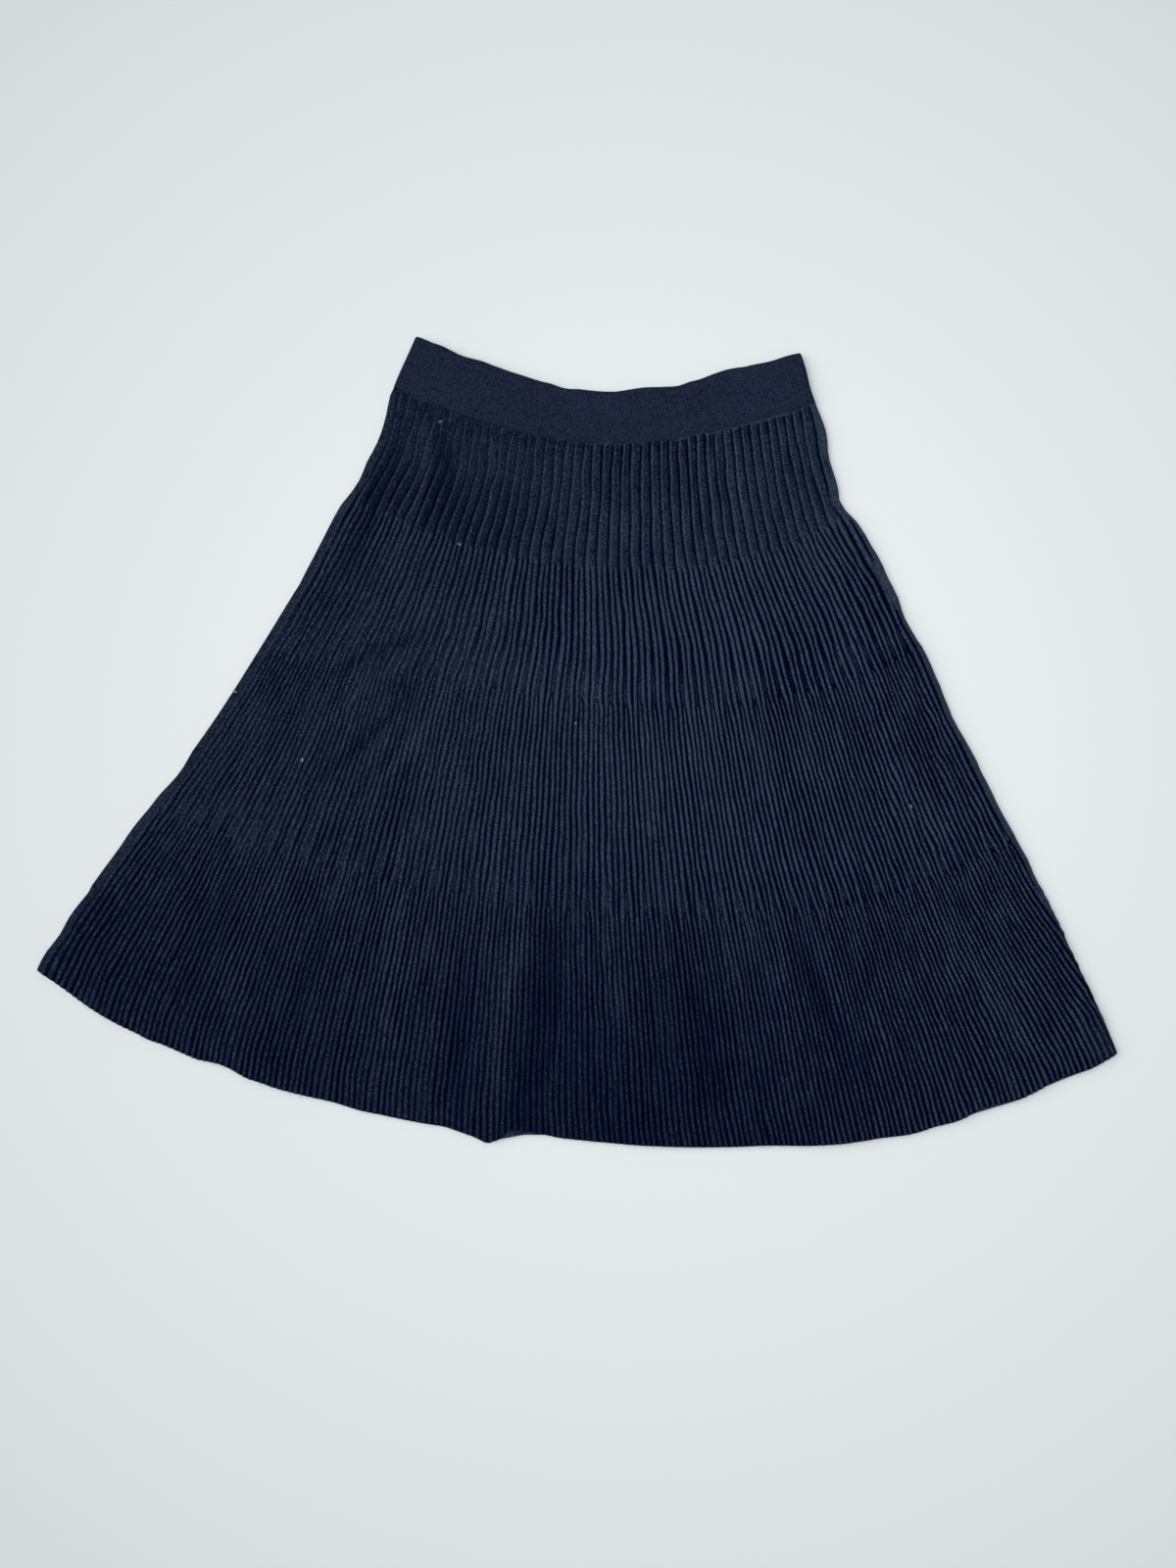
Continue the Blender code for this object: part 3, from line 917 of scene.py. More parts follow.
class GroupMaker:
    """Builds one shader group with named inputs and outputs."""

    def __init__(self, effect: Effect) -> None:
        """Makes the empty group.

        Args:
            effect: the effect that names it.
        """
        self.tree = bpy.data.node_groups.new(effect.value, "ShaderNodeTree")
        self.inlet = self.tree.nodes.new("NodeGroupInput")
        self.outlet = self.tree.nodes.new("NodeGroupOutput")

    def socket(self, name: str, way: str, kind: str, value: float | tuple | None = None) -> None:
        """Adds a named socket.

        Args:
            name: the socket's name.
            way: INPUT or OUTPUT.
            kind: Float, Color or Vector.
            value: an input's value where nothing is linked.
        """
        made = self.tree.interface.new_socket(name=name, in_out=way, socket_type="NodeSocket" + kind)
        if value is not None:
            made.default_value = value

    def node(self, kind: str, **settings: object) -> bpy.types.Node:
        """Adds a node and sets its options.

        Args:
            kind: the node's type, after ShaderNode.
            settings: its options.

        Returns:
            The node.
        """
        made = self.tree.nodes.new("ShaderNode" + kind)
        for name, value in settings.items():
            setattr(made, name, value)
        return made

    def link(self, source: bpy.types.NodeSocket, target: bpy.types.NodeSocket) -> None:
        """Links two sockets."""
        self.tree.links.new(source, target)

    def math(self, operation: str, *values: object) -> bpy.types.NodeSocket:
        """Adds a math node.

        Args:
            operation: what it does.
            values: its inputs, each a number or a socket.

        Returns:
            Its output.
        """
        made = self.node("Math", operation=operation)
        for number, value in enumerate(values):
            if isinstance(value, bpy.types.NodeSocket):
                self.link(value, made.inputs[number])
            else:
                made.inputs[number].default_value = value
        return made.outputs[0]

    def noise(self, scale: float, detail: float) -> bpy.types.NodeSocket:
        """Adds noise that is fixed to the object.

        Args:
            scale: how many lumps it has to a metre, about.
            detail: how many finer layers it has.

        Returns:
            Its value, from 0 to 1.
        """
        made = self.node("TexNoise")
        self.link(self.node("TexCoord").outputs["Object"], made.inputs["Vector"])
        made.inputs["Scale"].default_value = scale
        made.inputs["Detail"].default_value = detail
        return made.outputs["Fac"]

    def toned(self, colour: bpy.types.NodeSocket, level: bpy.types.NodeSocket) -> bpy.types.NodeSocket:
        """Makes a colour lighter or darker.

        Args:
            colour: the colour.
            level: what it is multiplied by.

        Returns:
            The new colour.
        """
        made = self.node("VectorMath", operation="SCALE")
        self.link(colour, made.inputs[0])
        self.link(level, made.inputs["Scale"])
        return made.outputs[0]

    def mix(self, share: bpy.types.NodeSocket, first: bpy.types.NodeSocket,
            second: bpy.types.NodeSocket) -> bpy.types.NodeSocket:
        """Mixes two colours.

        Args:
            share: the second colour's share.
            first: a colour.
            second: a colour.

        Returns:
            The mixed colour.
        """
        made = self.node("Mix", data_type="RGBA")
        factor, a, b = made.inputs["Factor"], made.inputs[6], made.inputs[7]
        for source, target in ((share, factor), (first, a), (second, b)):
            self.link(source, target)
        return made.outputs[2]


# The two legs of a stitch: their place off its middle, how quickly they round off, and how plump they are
LEG_PLACE = 0.26
LEG_ROUNDING = 14.0
LEG_PLUMPNESS = 0.6


def build_stitches() -> bpy.types.NodeTree:
    """The small V-shaped stitches of a plain knit, read from stitch coordinates.

    Returns:
        A group that takes the coordinates, in stitches, and gives the stitches' height and the mask of the
        gaps between them, which takes painted shade.
    """
    maker = GroupMaker(Effect.STITCHES)
    maker.socket("Stitches", "INPUT", "Vector")
    maker.socket("Slant", "INPUT", "Float", 0.75)
    maker.socket("Height", "OUTPUT", "Float")
    maker.socket("Gap", "OUTPUT", "Float")
    split = maker.node("SeparateXYZ")
    maker.link(maker.inlet.outputs["Stitches"], split.inputs[0])
    wale = maker.math("FRACT", split.outputs["X"])
    off_middle = maker.math("ABSOLUTE", maker.math("SUBTRACT", wale, 0.5))
    slanted = maker.math("MULTIPLY", off_middle, maker.inlet.outputs["Slant"])
    rise = maker.math("SUBTRACT", split.outputs["Y"], maker.math("MULTIPLY", slanted, 2.0))
    leg_along = maker.math("SINE", maker.math("MULTIPLY", maker.math("FRACT", rise), math.pi))
    leg_side = maker.math("SUBTRACT", off_middle, LEG_PLACE)
    rounding = maker.math("MULTIPLY", maker.math("MULTIPLY", leg_side, leg_side), LEG_ROUNDING)
    leg_across = maker.math("SUBTRACT", 1.0, rounding)
    height = maker.math("MULTIPLY", maker.math("POWER", leg_along, LEG_PLUMPNESS), leg_across)
    gap = maker.math("SUBTRACT", 1.0, maker.math("MINIMUM", maker.math("MAXIMUM", height, 0.0), 1.0))
    maker.link(height, maker.outlet.inputs["Height"])
    maker.link(gap, maker.outlet.inputs["Gap"])
    return maker.tree


# Noise scales of the wool's tone, and how strong its parts are
CLOUD_SCALE = 26.0
CLOUD_STRENGTH = 0.5
GRAIN_SCALES = (880.0, 1900.0)
FLECK_SCALE = 1500.0
FLECK_LEVEL = 0.68
# How dark the painted shade in the gaps between the stitches' legs is
GAP_DARKNESS = 0.45


def build_tone_and_painted_shade() -> bpy.types.NodeTree:
    """The uneven tone of dark wool: clouds, a fine mottle and paler fibres; and painted shade in the furrows
    and in the gaps between stitches.

    Returns:
        A group that takes colours and masks and gives the surface's colour.
    """
    maker = GroupMaker(Effect.TONE_AND_PAINTED_SHADE)
    maker.socket("Wool", "INPUT", "Color", (0.02, 0.02, 0.04, 1.0))
    maker.socket("Deep", "INPUT", "Color", (0.002, 0.003, 0.006, 1.0))
    maker.socket("Pale", "INPUT", "Color", (0.06, 0.06, 0.08, 1.0))
    for name, value in (("Furrow", 0.0), ("Gap", 0.0), ("Mottle", 0.5), ("Fleck", 0.3), ("Fray", 9.0)):
        maker.socket(name, "INPUT", "Float", value)
    maker.socket("Color", "OUTPUT", "Color")
    inlet = maker.inlet.outputs
    cloud = maker.math("SUBTRACT", maker.noise(CLOUD_SCALE, 2.0), 0.5)
    clouds = maker.math("MULTIPLY", cloud, CLOUD_STRENGTH)
    coarse, fine = GRAIN_SCALES
    grain = maker.math("ADD", maker.noise(coarse, 2.0), maker.noise(fine, 1.0))
    mottle = maker.math("SUBTRACT", maker.math("MULTIPLY", grain, 0.5), 0.5)
    strong_mottle = maker.math("MULTIPLY", mottle, maker.math("MULTIPLY", inlet["Mottle"], 2.0))
    level = maker.math("ADD", maker.math("ADD", clouds, strong_mottle), 1.0)
    is_fleck = maker.math("GREATER_THAN", maker.noise(FLECK_SCALE, 1.0), FLECK_LEVEL)
    fleck = maker.math("MULTIPLY", is_fleck, inlet["Fleck"])
    pale = maker.mix(fleck, maker.toned(inlet["Wool"], level), inlet["Pale"])
    flank = maker.math("MULTIPLY", inlet["Furrow"], maker.math("SUBTRACT", 1.0, inlet["Furrow"]))
    frayed = maker.math("MULTIPLY", flank, maker.math("MULTIPLY", mottle, inlet["Fray"]))
    furrow = maker.math("MAXIMUM", maker.math("SUBTRACT", inlet["Furrow"], frayed), 0.0)
    # Painted shade: the furrow mask and the gaps between stitches mix the wool towards the Deep colour.
    dark = maker.math("MAXIMUM", furrow, maker.math("MULTIPLY", inlet["Gap"], GAP_DARKNESS))
    maker.link(maker.mix(dark, pale, inlet["Deep"]), maker.outlet.inputs["Color"])
    return maker.tree


# Noise scales of the fibres' relief
FIBRE_SCALES = (900.0, 2600.0)


def build_fibres() -> bpy.types.NodeTree:
    """The tiny relief of loose wool fibres.

    Returns:
        A group that gives a height from noise at two scales.
    """
    maker = GroupMaker(Effect.FIBRES)
    maker.socket("Coarse", "INPUT", "Float", 0.6)
    maker.socket("Height", "OUTPUT", "Float")
    large, small = (maker.noise(scale, 2.0) for scale in FIBRE_SCALES)
    coarse = maker.math("MULTIPLY", large, maker.inlet.outputs["Coarse"])
    maker.link(maker.math("ADD", coarse, small), maker.outlet.inputs["Height"])
    return maker.tree


# How large the patches of tone of the loose fibres are, and how dark and pale they get
STRAND_TONE_SCALE = 300.0
STRAND_DARKEST = 0.6
STRAND_PALEST = 1.5


def build_strand_tone() -> bpy.types.NodeTree:
    """A tone that varies from fibre to fibre.

    Returns:
        A group that takes a colour and gives it darker and paler in places.
    """
    maker = GroupMaker(Effect.STRAND_TONE)
    maker.socket("Fibre", "INPUT", "Color", (0.5, 0.5, 0.5, 1.0))
    maker.socket("Color", "OUTPUT", "Color")
    noise = maker.noise(STRAND_TONE_SCALE, 2.0)
    paler = maker.math("MULTIPLY", noise, STRAND_PALEST - STRAND_DARKEST)
    toned = maker.toned(maker.inlet.outputs["Fibre"], maker.math("ADD", paler, STRAND_DARKEST))
    maker.link(toned, maker.outlet.inputs["Color"])
    return maker.tree


Groups = dict[Effect, bpy.types.NodeTree]


class Finish:
    """A new material with its shader, which takes shared groups and links."""

    def __init__(self, name: str, colour: Colour, roughness: float) -> None:
        """Makes the material.

        Args:
            name: its name.
            colour: the colour that it has where nothing is linked.
            roughness: its roughness.
        """
        self.material = bpy.data.materials.new(name)
        self.material.use_nodes = True
        self.material.diffuse_color = (*colour, 1.0)
        self.nodes = self.material.node_tree.nodes
        self.shader = self.nodes["Principled BSDF"]
        self.set(self.shader, {"Base Color": (*colour, 1.0), "Roughness": roughness})

    def set(self, node: bpy.types.Node, values: dict[str, float | tuple]) -> None:
        """Sets the values of a node's inputs."""
        for name, value in values.items():
            node.inputs[name].default_value = value

    def group(self, tree: bpy.types.NodeTree) -> bpy.types.Node:
        """Places a shared group.

        Args:
            tree: the group.

        Returns:
            Its node.
        """
        made = self.nodes.new("ShaderNodeGroup")
        made.node_tree = tree
        return made

    def link(self, source: bpy.types.NodeSocket, target: bpy.types.NodeSocket) -> None:
        """Links two sockets."""
        self.material.node_tree.links.new(source, target)


@dataclass(frozen=True)
class WoolKnit:
    """A knitted wool finish. deep is the colour of its painted shade, and furrow_dark how strong that shade
    is.
    """

    name: str
    wool: Colour
    deep: Colour
    pale: Colour
    stitch_depth: float
    fibre_depth: float
    mottle: float
    fleck: float
    furrow_dark: float
    sheen: float
    roughness: float = 0.92
    fray: float = 7.5
    sheen_roughness: float = 0.45
    sheen_tint: Colour = (0.55, 0.68, 0.9)

    def material(self, groups: Groups) -> bpy.types.Material:
        """Builds the material.

        Args:
            groups: the shared shader groups.

        Returns:
            The finished material.
        """
        made = Finish(self.name, self.wool, self.roughness)
        tint = (*self.sheen_tint, 1.0)
        made.set(made.shader, {"Specular IOR Level": 0.0, "Sheen Weight": self.sheen})
        made.set(made.shader, {"Sheen Roughness": self.sheen_roughness, "Sheen Tint": tint})
        places = made.nodes.new("ShaderNodeUVMap")
        places.uv_map = "stitches"
        stitches = made.group(groups[Effect.STITCHES])
        tone = made.group(groups[Effect.TONE_AND_PAINTED_SHADE])
        fibres = made.group(groups[Effect.FIBRES])
        made.link(places.outputs["UV"], stitches.inputs["Stitches"])
        # Painted shade: the furrow attribute, times furrow_dark, darkens the wool towards the deep colour.
        furrow = made.nodes.new("ShaderNodeAttribute")
        furrow.attribute_name = "furrow"
        shade = made.nodes.new("ShaderNodeMath")
        shade.operation = "MULTIPLY"
        shade.inputs[1].default_value = self.furrow_dark
        made.link(furrow.outputs["Fac"], shade.inputs[0])
        made.link(shade.outputs[0], tone.inputs["Furrow"])
        made.link(stitches.outputs["Gap"], tone.inputs["Gap"])
        made.set(tone, {"Wool": (*self.wool, 1.0), "Deep": (*self.deep, 1.0), "Pale": (*self.pale, 1.0),
                        "Mottle": self.mottle, "Fleck": self.fleck, "Fray": self.fray})
        made.link(tone.outputs["Color"], made.shader.inputs["Base Color"])
        target = made.shader.inputs["Normal"]
        for group, depth in ((fibres, self.fibre_depth), (stitches, self.stitch_depth)):
            bump = made.nodes.new("ShaderNodeBump")
            bump.inputs["Distance"].default_value = depth * MM
            made.link(group.outputs["Height"], bump.inputs["Height"])
            made.link(bump.outputs["Normal"], target)
            target = bump.inputs["Normal"]
        return made.material


@dataclass(frozen=True)
class Fibre:
    """The finish of loose fibres and lint."""

    name: str
    colour: Colour
    roughness: float = 0.8

    def material(self, groups: Groups) -> bpy.types.Material:
        """Builds the material.

        Args:
            groups: the shared shader groups.

        Returns:
            The finished material.
        """
        made = Finish(self.name, self.colour, self.roughness)
        tone = made.group(groups[Effect.STRAND_TONE])
        made.set(tone, {"Fibre": (*self.colour, 1.0)})
        made.link(tone.outputs["Color"], made.shader.inputs["Base Color"])
        return made.material


# Each knit's second colour is the colour of its painted shade. The front's wool is its palest tone, which its
# painted shade darkens over most of the panel.
FRONT_KNIT = WoolKnit("front_rib_knit_finish", (0.0422, 0.0635, 0.1012), (0.0, 0.0014, 0.0125),
                      (0.11, 0.125, 0.16), 0.14, 0.06, 1.9, 0.25, 1.0, 0.008)
BACK_KNIT = WoolKnit("back_rib_knit_finish", (0.028, 0.040, 0.066), (0.0, 0.0014, 0.0125),
                     (0.08, 0.09, 0.12), 0.14, 0.06, 1.0, 0.2, 0.97, 0.02)
BAND_KNIT = WoolKnit("band_fine_knit_finish", (0.0165, 0.0243, 0.0480), (0.002, 0.005, 0.014),
                     (0.060, 0.066, 0.092), 0.09, 0.06, 2.2, 0.3, 0.9, 0.008)
LOOSE_FIBRE = Fibre("loose_fibre_finish", (0.03, 0.036, 0.055))
LINT = Fibre("lint_finish", (0.55, 0.50, 0.51))


# ---------------------------------------------------------------------------------------------------------
# The pieces
# ---------------------------------------------------------------------------------------------------------


def even_rows(start: float, end: float, step: float) -> list[float]:
    """Rows at nearly even steps from start to end, both included."""
    count = max(1, round((end - start) / step))
    return [start + (end - start) * k / count for k in range(count + 1)]


@dataclass(frozen=True)
class Rows:
    """The rows of a panel's points: close together where its form changes, and nearly even between."""

    seam: tuple[float, ...]
    tier: tuple[float, ...]
    hem: tuple[float, ...]
    tier_margin: float
    hem_margin: float
    step: float

    def downs(self) -> np.ndarray:
        """Their distances down the middle.

        Returns:
            The distances, from the band's seam to the hem.
        """
        rows = [BAND_SEAM + place for place in self.seam]
        for end in TIER_ENDS:
            rows += even_rows(rows[-1], end - self.tier_margin, self.step)[1:]
            rows += [end + place for place in self.tier]
        rows += even_rows(rows[-1], HEM - self.hem_margin, self.step)[1:]
        return np.array(rows + [HEM + place for place in self.hem])


@dataclass(frozen=True)
class Clarity:
    """How clearly the furrows show below the yoke, in the ribs' height and in their painted shade: more at
    the right, less at the left hip.
    """

    right_across: Ramp = Ramp(0.0, 0.75)
    right_down: Ramp = Ramp(95.0, 180.0)
    left_across: Ramp = Ramp(0.05, 0.6)
    left_starts: Ramp = Ramp(95.0, 115.0)
    left_ends: Ramp = Ramp(270.0, 300.0)
    left_loss: float = 0.5

    def read(self, across: np.ndarray, down: np.ndarray) -> np.ndarray:
        """Reads the clarity.

        Args:
            across: places across.
            down: places down.

        Returns:
            Above 0 where the furrows are clearer, below 0 where they are blurred.
        """
        right = self.right_across.rise(across) * self.right_down.rise(down)
        left = self.left_across.rise(-across) * self.left_starts.rise(down) * self.left_ends.fall(down)
        return right - self.left_loss * left


@dataclass(frozen=True)
class PaintedShade:
    """Painted shade over broad parts of the front: how much darker the cloth looks than its palest part, as
    the share of its tone that each cause takes: the left side, the yoke, the last tier where the ribs stand
    closer, a broad patch across the middle of the lower tiers, the crease troughs (with crease ridges painted
    lighter), and where the furrows show less clearly.
    """

    left: float = 0.27
    yoke: float = 0.12
    low: float = 0.34
    middle: float = 0.24
    crease: float = 0.15
    unclear: float = 0.105
    blurred: float = 0.33
    most: float = 0.8
    left_across: Ramp = Ramp(-0.65, 0.6)
    yoke_down: Ramp = Ramp(TIER_ENDS[0] - 6, TIER_ENDS[0] + 4)
    low_down: Ramp = Ramp(250.0, 385.0)
    low_right: Ramp = Ramp(0.35, 0.95)
    low_right_spared: float = 0.72
    low_left_spared: float = 0.4
    middle_place: float = 0.2
    middle_reach: float = 0.65
    middle_down: Ramp = Ramp(190.0, 300.0)

    def read(self, across: np.ndarray, down: np.ndarray, crease: np.ndarray,
             clarity: np.ndarray) -> np.ndarray:
        """Reads the painted shade.

        Args:
            across: places across.
            down: places down.
            crease: the height of the creases there.
            clarity: how clear the furrows are there.

        Returns:
            The share of the tone that is lost.
        """
        low = self.low_down.rise(down) * (1 - self.low_right_spared * self.low_right.rise(across))
        total = self.left * self.left_across.rise(-across) * (1 - self.low_left_spared * low)
        # Painted shade in the crease troughs and painted light on the crease ridges
        total = total + self.yoke * self.yoke_down.fall(down) + self.low * low - self.crease * crease
        middle = bell(across - self.middle_place, self.middle_reach) * self.middle_down.rise(down)
        total = total + self.middle * middle
        total = total + self.unclear * (1 - np.maximum(clarity, 0)) + self.blurred * np.maximum(-clarity, 0)
        return np.clip(total, 0, self.most)


@dataclass
class FrontPanel:
    """The ribbed front of the skirt, with its creases, wrapped down over the side folds.

    Places across run from -1 at the left fold to 1 at the right one, and past them where cloth turns under.
    """

    plan: SkirtPlan
    knit: RibKnit
    clarity: Clarity = Clarity()
    painted_shade: PaintedShade = PaintedShade()
    rows: Rows = Rows(seam=(-0.7, 0.1, 1.0, 2.6, 4.8), tier=(-2.0, -0.7, 0.6, 2.0, 4.0),
                      hem=(-0.9, -0.3, 0.0), tier_margin=4.2, hem_margin=2.4, step=6.0)
    samples: int = 24
    inner_columns: int = 97
    inner_inset: float = 1.75
    inner_margins: tuple[float, float] = (0.4, 0.5)
    crowding: float = 0.075
    fold_middle: float = 1.5
    fold_bottom: float = 0.3
    under_reach: float = 0.8
    tuck_length: float = 1.4
    # The columns that turn under at a side fold: how far back each lies, and its height
    wrap: Table = ((0.12, 1.0), (0.5, 0.5), (1.5, 0.28))
    wrap_least: float = 0.1
    wrap_drop: float = 0.02
    # The wall's and the rib's share of their full height, down the middle
    wall_shares: Table = ((BAND_SEAM - 0.7, 0.45), (BAND_SEAM + 0.1, 0.8), (BAND_SEAM + 1.0, 1.0),
                          (HEM - 0.9, 1.0), (HEM - 0.3, 0.8), (HEM, 0.42))
    rib_shares: Table = ((HEM - 2.4, 1.0), (HEM - 0.3, 0.6), (HEM, 0.3))
    # How wide the smooth turning cloth at each side fold is, down the middle
    smooth_left: Table = ((28, 2.5), (60, 4.0), (330, 4.6), (395, 2.5))
    smooth_right: Table = ((28, 3.5), (45, 4.6), (60, 3.0), (67, 0.8), (76, 3.4), (89, 4.6), (98, 2.4),
                           (108, 0.6), (116, 1.0), (128, 4.6), (142, 4.6), (152, 1.0), (163, 1.8), (200, 2.0),
                           (320, 2.2), (350, 0.2))
    smooth_edge: float = 0.9
    # Where the ribs are crumpled: by the left of the seam, at the right corner, and at the left hip
    seam_across: Ramp = Ramp(-0.5, 0.1)
    seam_down: Ramp = Ramp(48.0, 84.0)
    corner_across: Ramp = Ramp(0.9, 0.985)
    corner_down: Ramp = Ramp(375.0, 398.0)
    hip_crumple: float = 0.42
    hip_across: tuple[float, float] = (-0.56, 0.42)
    hip_down: tuple[float, float] = (168.0, 92.0)
    # How the ribs sway (length of a wave down the middle, its shift across) and lean over the right corner
    sway: float = 0.20
    sways: Table = ((17.0, 5.0), (29.0, -7.0))
    lean: float = 0.052
    lean_from: float = 0.4
    lean_down: Ramp = Ramp(290.0, 405.0)
    # How calm the ribs are near the band's seam and the side folds
    calm_down: Ramp = Ramp(BAND_SEAM, BAND_SEAM + 20)
    jitter_from_fold: Ramp = Ramp(0.5, 9.0)
    settled_from_fold: Ramp = Ramp(1.0, 10.0)
    # The lift off the back, which fades towards the side folds and the band
    mean_lift: float = 0.5
    least_lift: float = -0.2
    lift_side: float = 3 * FOLD_RADIUS
    lift_down: Ramp = Ramp(BAND_SEAM - 2, BAND_SEAM + 18)
    # Unevenness of the lift, of the ribs' places and of their height, and how much more where crumpled
    swells: tuple[Waver, ...] = (Waver(3, 21.0, 38.0, 0.55), Waver(4, 9.0, 16.0, 0.22))
    tucks: Waver = Waver(5, 7.0, 16.0, 0.4)
    wander: Waver = Waver(1, 5.0, 13.0)
    tremble: Waver = Waver(2, 2.6, 7.5)
    wander_sizes: tuple[float, float] = (0.46, 0.9)
    tremble_sizes: tuple[float, float] = (0.22, 0.3)
    wear: Waver = Waver(7, 2.2, 9.0, 0.10)
    flattened: Waver = Waver(6, 6.0, 9.0, 0.1)
    late: Waver = Waver(10, 3.0, 400.0)
    rib_starts: Ramp = Ramp(BAND_SEAM - 1.4, BAND_SEAM + 0.6)
    clear_height: float = 0.28
    rib_bulge: float = 0.7
    scallop: float = 0.45
    scallop_level: float = 0.6
    scallop_down: Ramp = Ramp(HEM - 4, HEM)
    # How dark the painted shade in the furrows is, more so where they start (the place below the seam, and
    # the reach)
    furrow_shade: Ramp = Ramp(0.02, 0.88)
    furrow_darkness: float = 1.24
    furrow_uneven: Waver = Waver(11, 17.0, 30.0, 0.12)
    start_darkness: float = 0.2
    start_place: tuple[float, float] = (2.0, 5.0)
    clear_darkness: float = 0.36
    crumple_paler: float = 0.3
    # How dark the painted shadow along the seam, a broken line, and the painted shade on the turning cloth at
    # the left fold are
    seam_darkness: float = 0.6
    seam_uneven: Waver = Waver(8, 8.0, 5.0)
    seam_broken: Ramp = Ramp(-0.3, 0.35)
    seam_ends: Ramp = Ramp(BAND_SEAM + 0.2, BAND_SEAM + 2.2)
    turning_darkness: float = 0.4
    turning_left: Ramp = Ramp(0.0, 0.5)

    def smooth_strip(self, across: np.ndarray, down: np.ndarray) -> np.ndarray:
        """Where the ribs show.

        Args:
            across: places across.
            down: places down.

        Returns:
            0 on the smooth turning cloth at a side fold, rising to 1 further in.
        """
        side = (1 - np.abs(across)) * self.plan.half_width(down)
        left, right = straight_lines(self.smooth_left, down), straight_lines(self.smooth_right, down)
        strip = np.where(across < 0, left, right)
        return smooth_step(side, strip - self.smooth_edge, strip + self.smooth_edge)

    def crumple(self, across: np.ndarray, down: np.ndarray) -> np.ndarray:
        """How crumpled the ribs are.

        Args:
            across: places across.
            down: places down.

        Returns:
            From 0 for calm ribs to 1.
        """
        seam = self.seam_across.fall(across) * self.seam_down.fall(down)
        corner = self.corner_across.rise(across) * self.corner_down.rise(down)
        (hip_across, reach_across), (hip_down, reach_down) = self.hip_across, self.hip_down
        hip = self.hip_crumple * bell(across - hip_across, reach_across) * bell(down - hip_down, reach_down)
        return np.maximum(np.maximum(seam, corner), hip)

    def run_off(self, across: np.ndarray, down: np.ndarray) -> np.ndarray:
        """How far the ribs lean outwards over the right fold near its corner, in shares of the half width."""
        reach = np.clip((across - self.lean_from) / (1 - self.lean_from), 0, 1) ** 2
        return self.lean * reach * self.lean_down.rise(down)

    def drift(self, base: np.ndarray, down: np.ndarray) -> np.ndarray:
        """How far the ribs drift to the right, most in the middle, in shares of the half width."""
        return (1 - base**2) * smooth_curve(DRIFT, down) / self.plan.half_width(down)

    def lift(self, across: np.ndarray, down: np.ndarray, x: np.ndarray, y: np.ndarray) -> np.ndarray:
        """How far the front's inner face stands off the back.

        Args:
            across: places across.
            down: places down.
            x: the same places in plan.
            y: the same places in plan.

        Returns:
            The distance at each place.
        """
        side = (1 - np.minimum(np.abs(across), 1)) * self.plan.half_width(down)
        fade = np.minimum(side / self.lift_side, 1.0) * self.lift_down.rise(down)
        soft = sum(swell.read(x, y) for swell in self.swells)
        tucks = self.crumple(across, down) * self.tucks.read(x, y)
        height = self.plan.waves(across, down) + CREASE_DEPTH * self.plan.creases(x, y) + soft + tucks
        return np.maximum(height + self.mean_lift, self.least_lift) * fade

    def rib_places(self, base: np.ndarray, down: np.ndarray) -> np.ndarray:
        """Where the ribs lie, with their sway, waver, lean and drift.

        Args:
            base: their even places across.
            down: places down.

        Returns:
            Their real places across, past -1 or 1 where a rib has turned under a side fold.
        """
        half = self.plan.half_width(down)
        from_fold = (1 - np.abs(base)) * half
        x, y = self.plan.place(base, down)
        rough = self.crumple(base, down)
        calm = (1 - base**2) * self.calm_down.rise(down)
        shift = calm * sum(self.sway * np.sin(down / length + turn * base) for length, turn in self.sways)
        jitter = 0.0
        for waver, (least, more) in ((self.wander, self.wander_sizes), (self.tremble, self.tremble_sizes)):
            jitter = jitter + (least + more * rough) * waver.read(x, y)
        shift = shift + jitter * self.jitter_from_fold.rise(from_fold)
        shift = shift - (x - self.plan.smooth_x(base, down)) * self.settled_from_fold.rise(from_fold)
        return base + shift / half + self.run_off(base, down) + self.drift(base, down)

    def wrapped(self, grid: tuple[np.ndarray, ...], down: np.ndarray) -> list[np.ndarray]:
        """Adds the columns that turn under at both sides.

        Args:
            grid: the x, y and z of the outer face.
            down: places down.

        Returns:
            The x, y and z with the new columns.
        """
        x, y, z = grid
        reach = max(step for step, _ in self.wrap)
        sides = []
        for edge, sign in ((0, -1.0), (-1, 1.0)):
            fold_x = self.plan.place(np.full_like(down, sign), down)[0][:, 0]
            inwards = sign * np.clip(1 - np.abs(x[:, edge] - fold_x) / reach, self.wrap_least, 1)
            sides.append([
                (x[:, edge] - step * inwards, y[:, edge], np.minimum(z[:, edge] - self.wrap_drop, height))
                for step, height in self.wrap
            ])
        left, right = sides
        columns = [*left[::-1], grid, *right]
        return [np.column_stack([column[k] for column in columns]) for k in range(3)]

    def shade(self, share: np.ndarray, late: np.ndarray, inside: np.ndarray, down: np.ndarray, x: np.ndarray,
              y: np.ndarray, rough: np.ndarray) -> np.ndarray:
        """The painted shade of each point: in its furrow, in a broken shadow line below the seam, on the
        turning cloth at the left fold, and the broad painted shade of the front.

        Args:
            share: the rib's height as a share.
            late: how far below the seam the ribs start.
            inside: places across.
            down: places down.
            x: the same places in plan.
            y: the same places in plan.
            rough: how crumpled the ribs are.

        Returns:
            The painted shade, from 0 to 1.
        """
        clarity = self.clarity.read(inside, down)
        strip = self.smooth_strip(inside, down)
        below, reach = self.start_place
        deeper = self.start_darkness * bell(down - late - BAND_SEAM - below, reach)
        depth = self.furrow_darkness + self.furrow_uneven.read(x, y) + deeper
        depth = depth * (1 + self.clear_darkness * clarity)
        # Painted shade in the furrows
        furrow = self.furrow_shade.rise((1 - share) * depth) * strip * self.started(down, late)
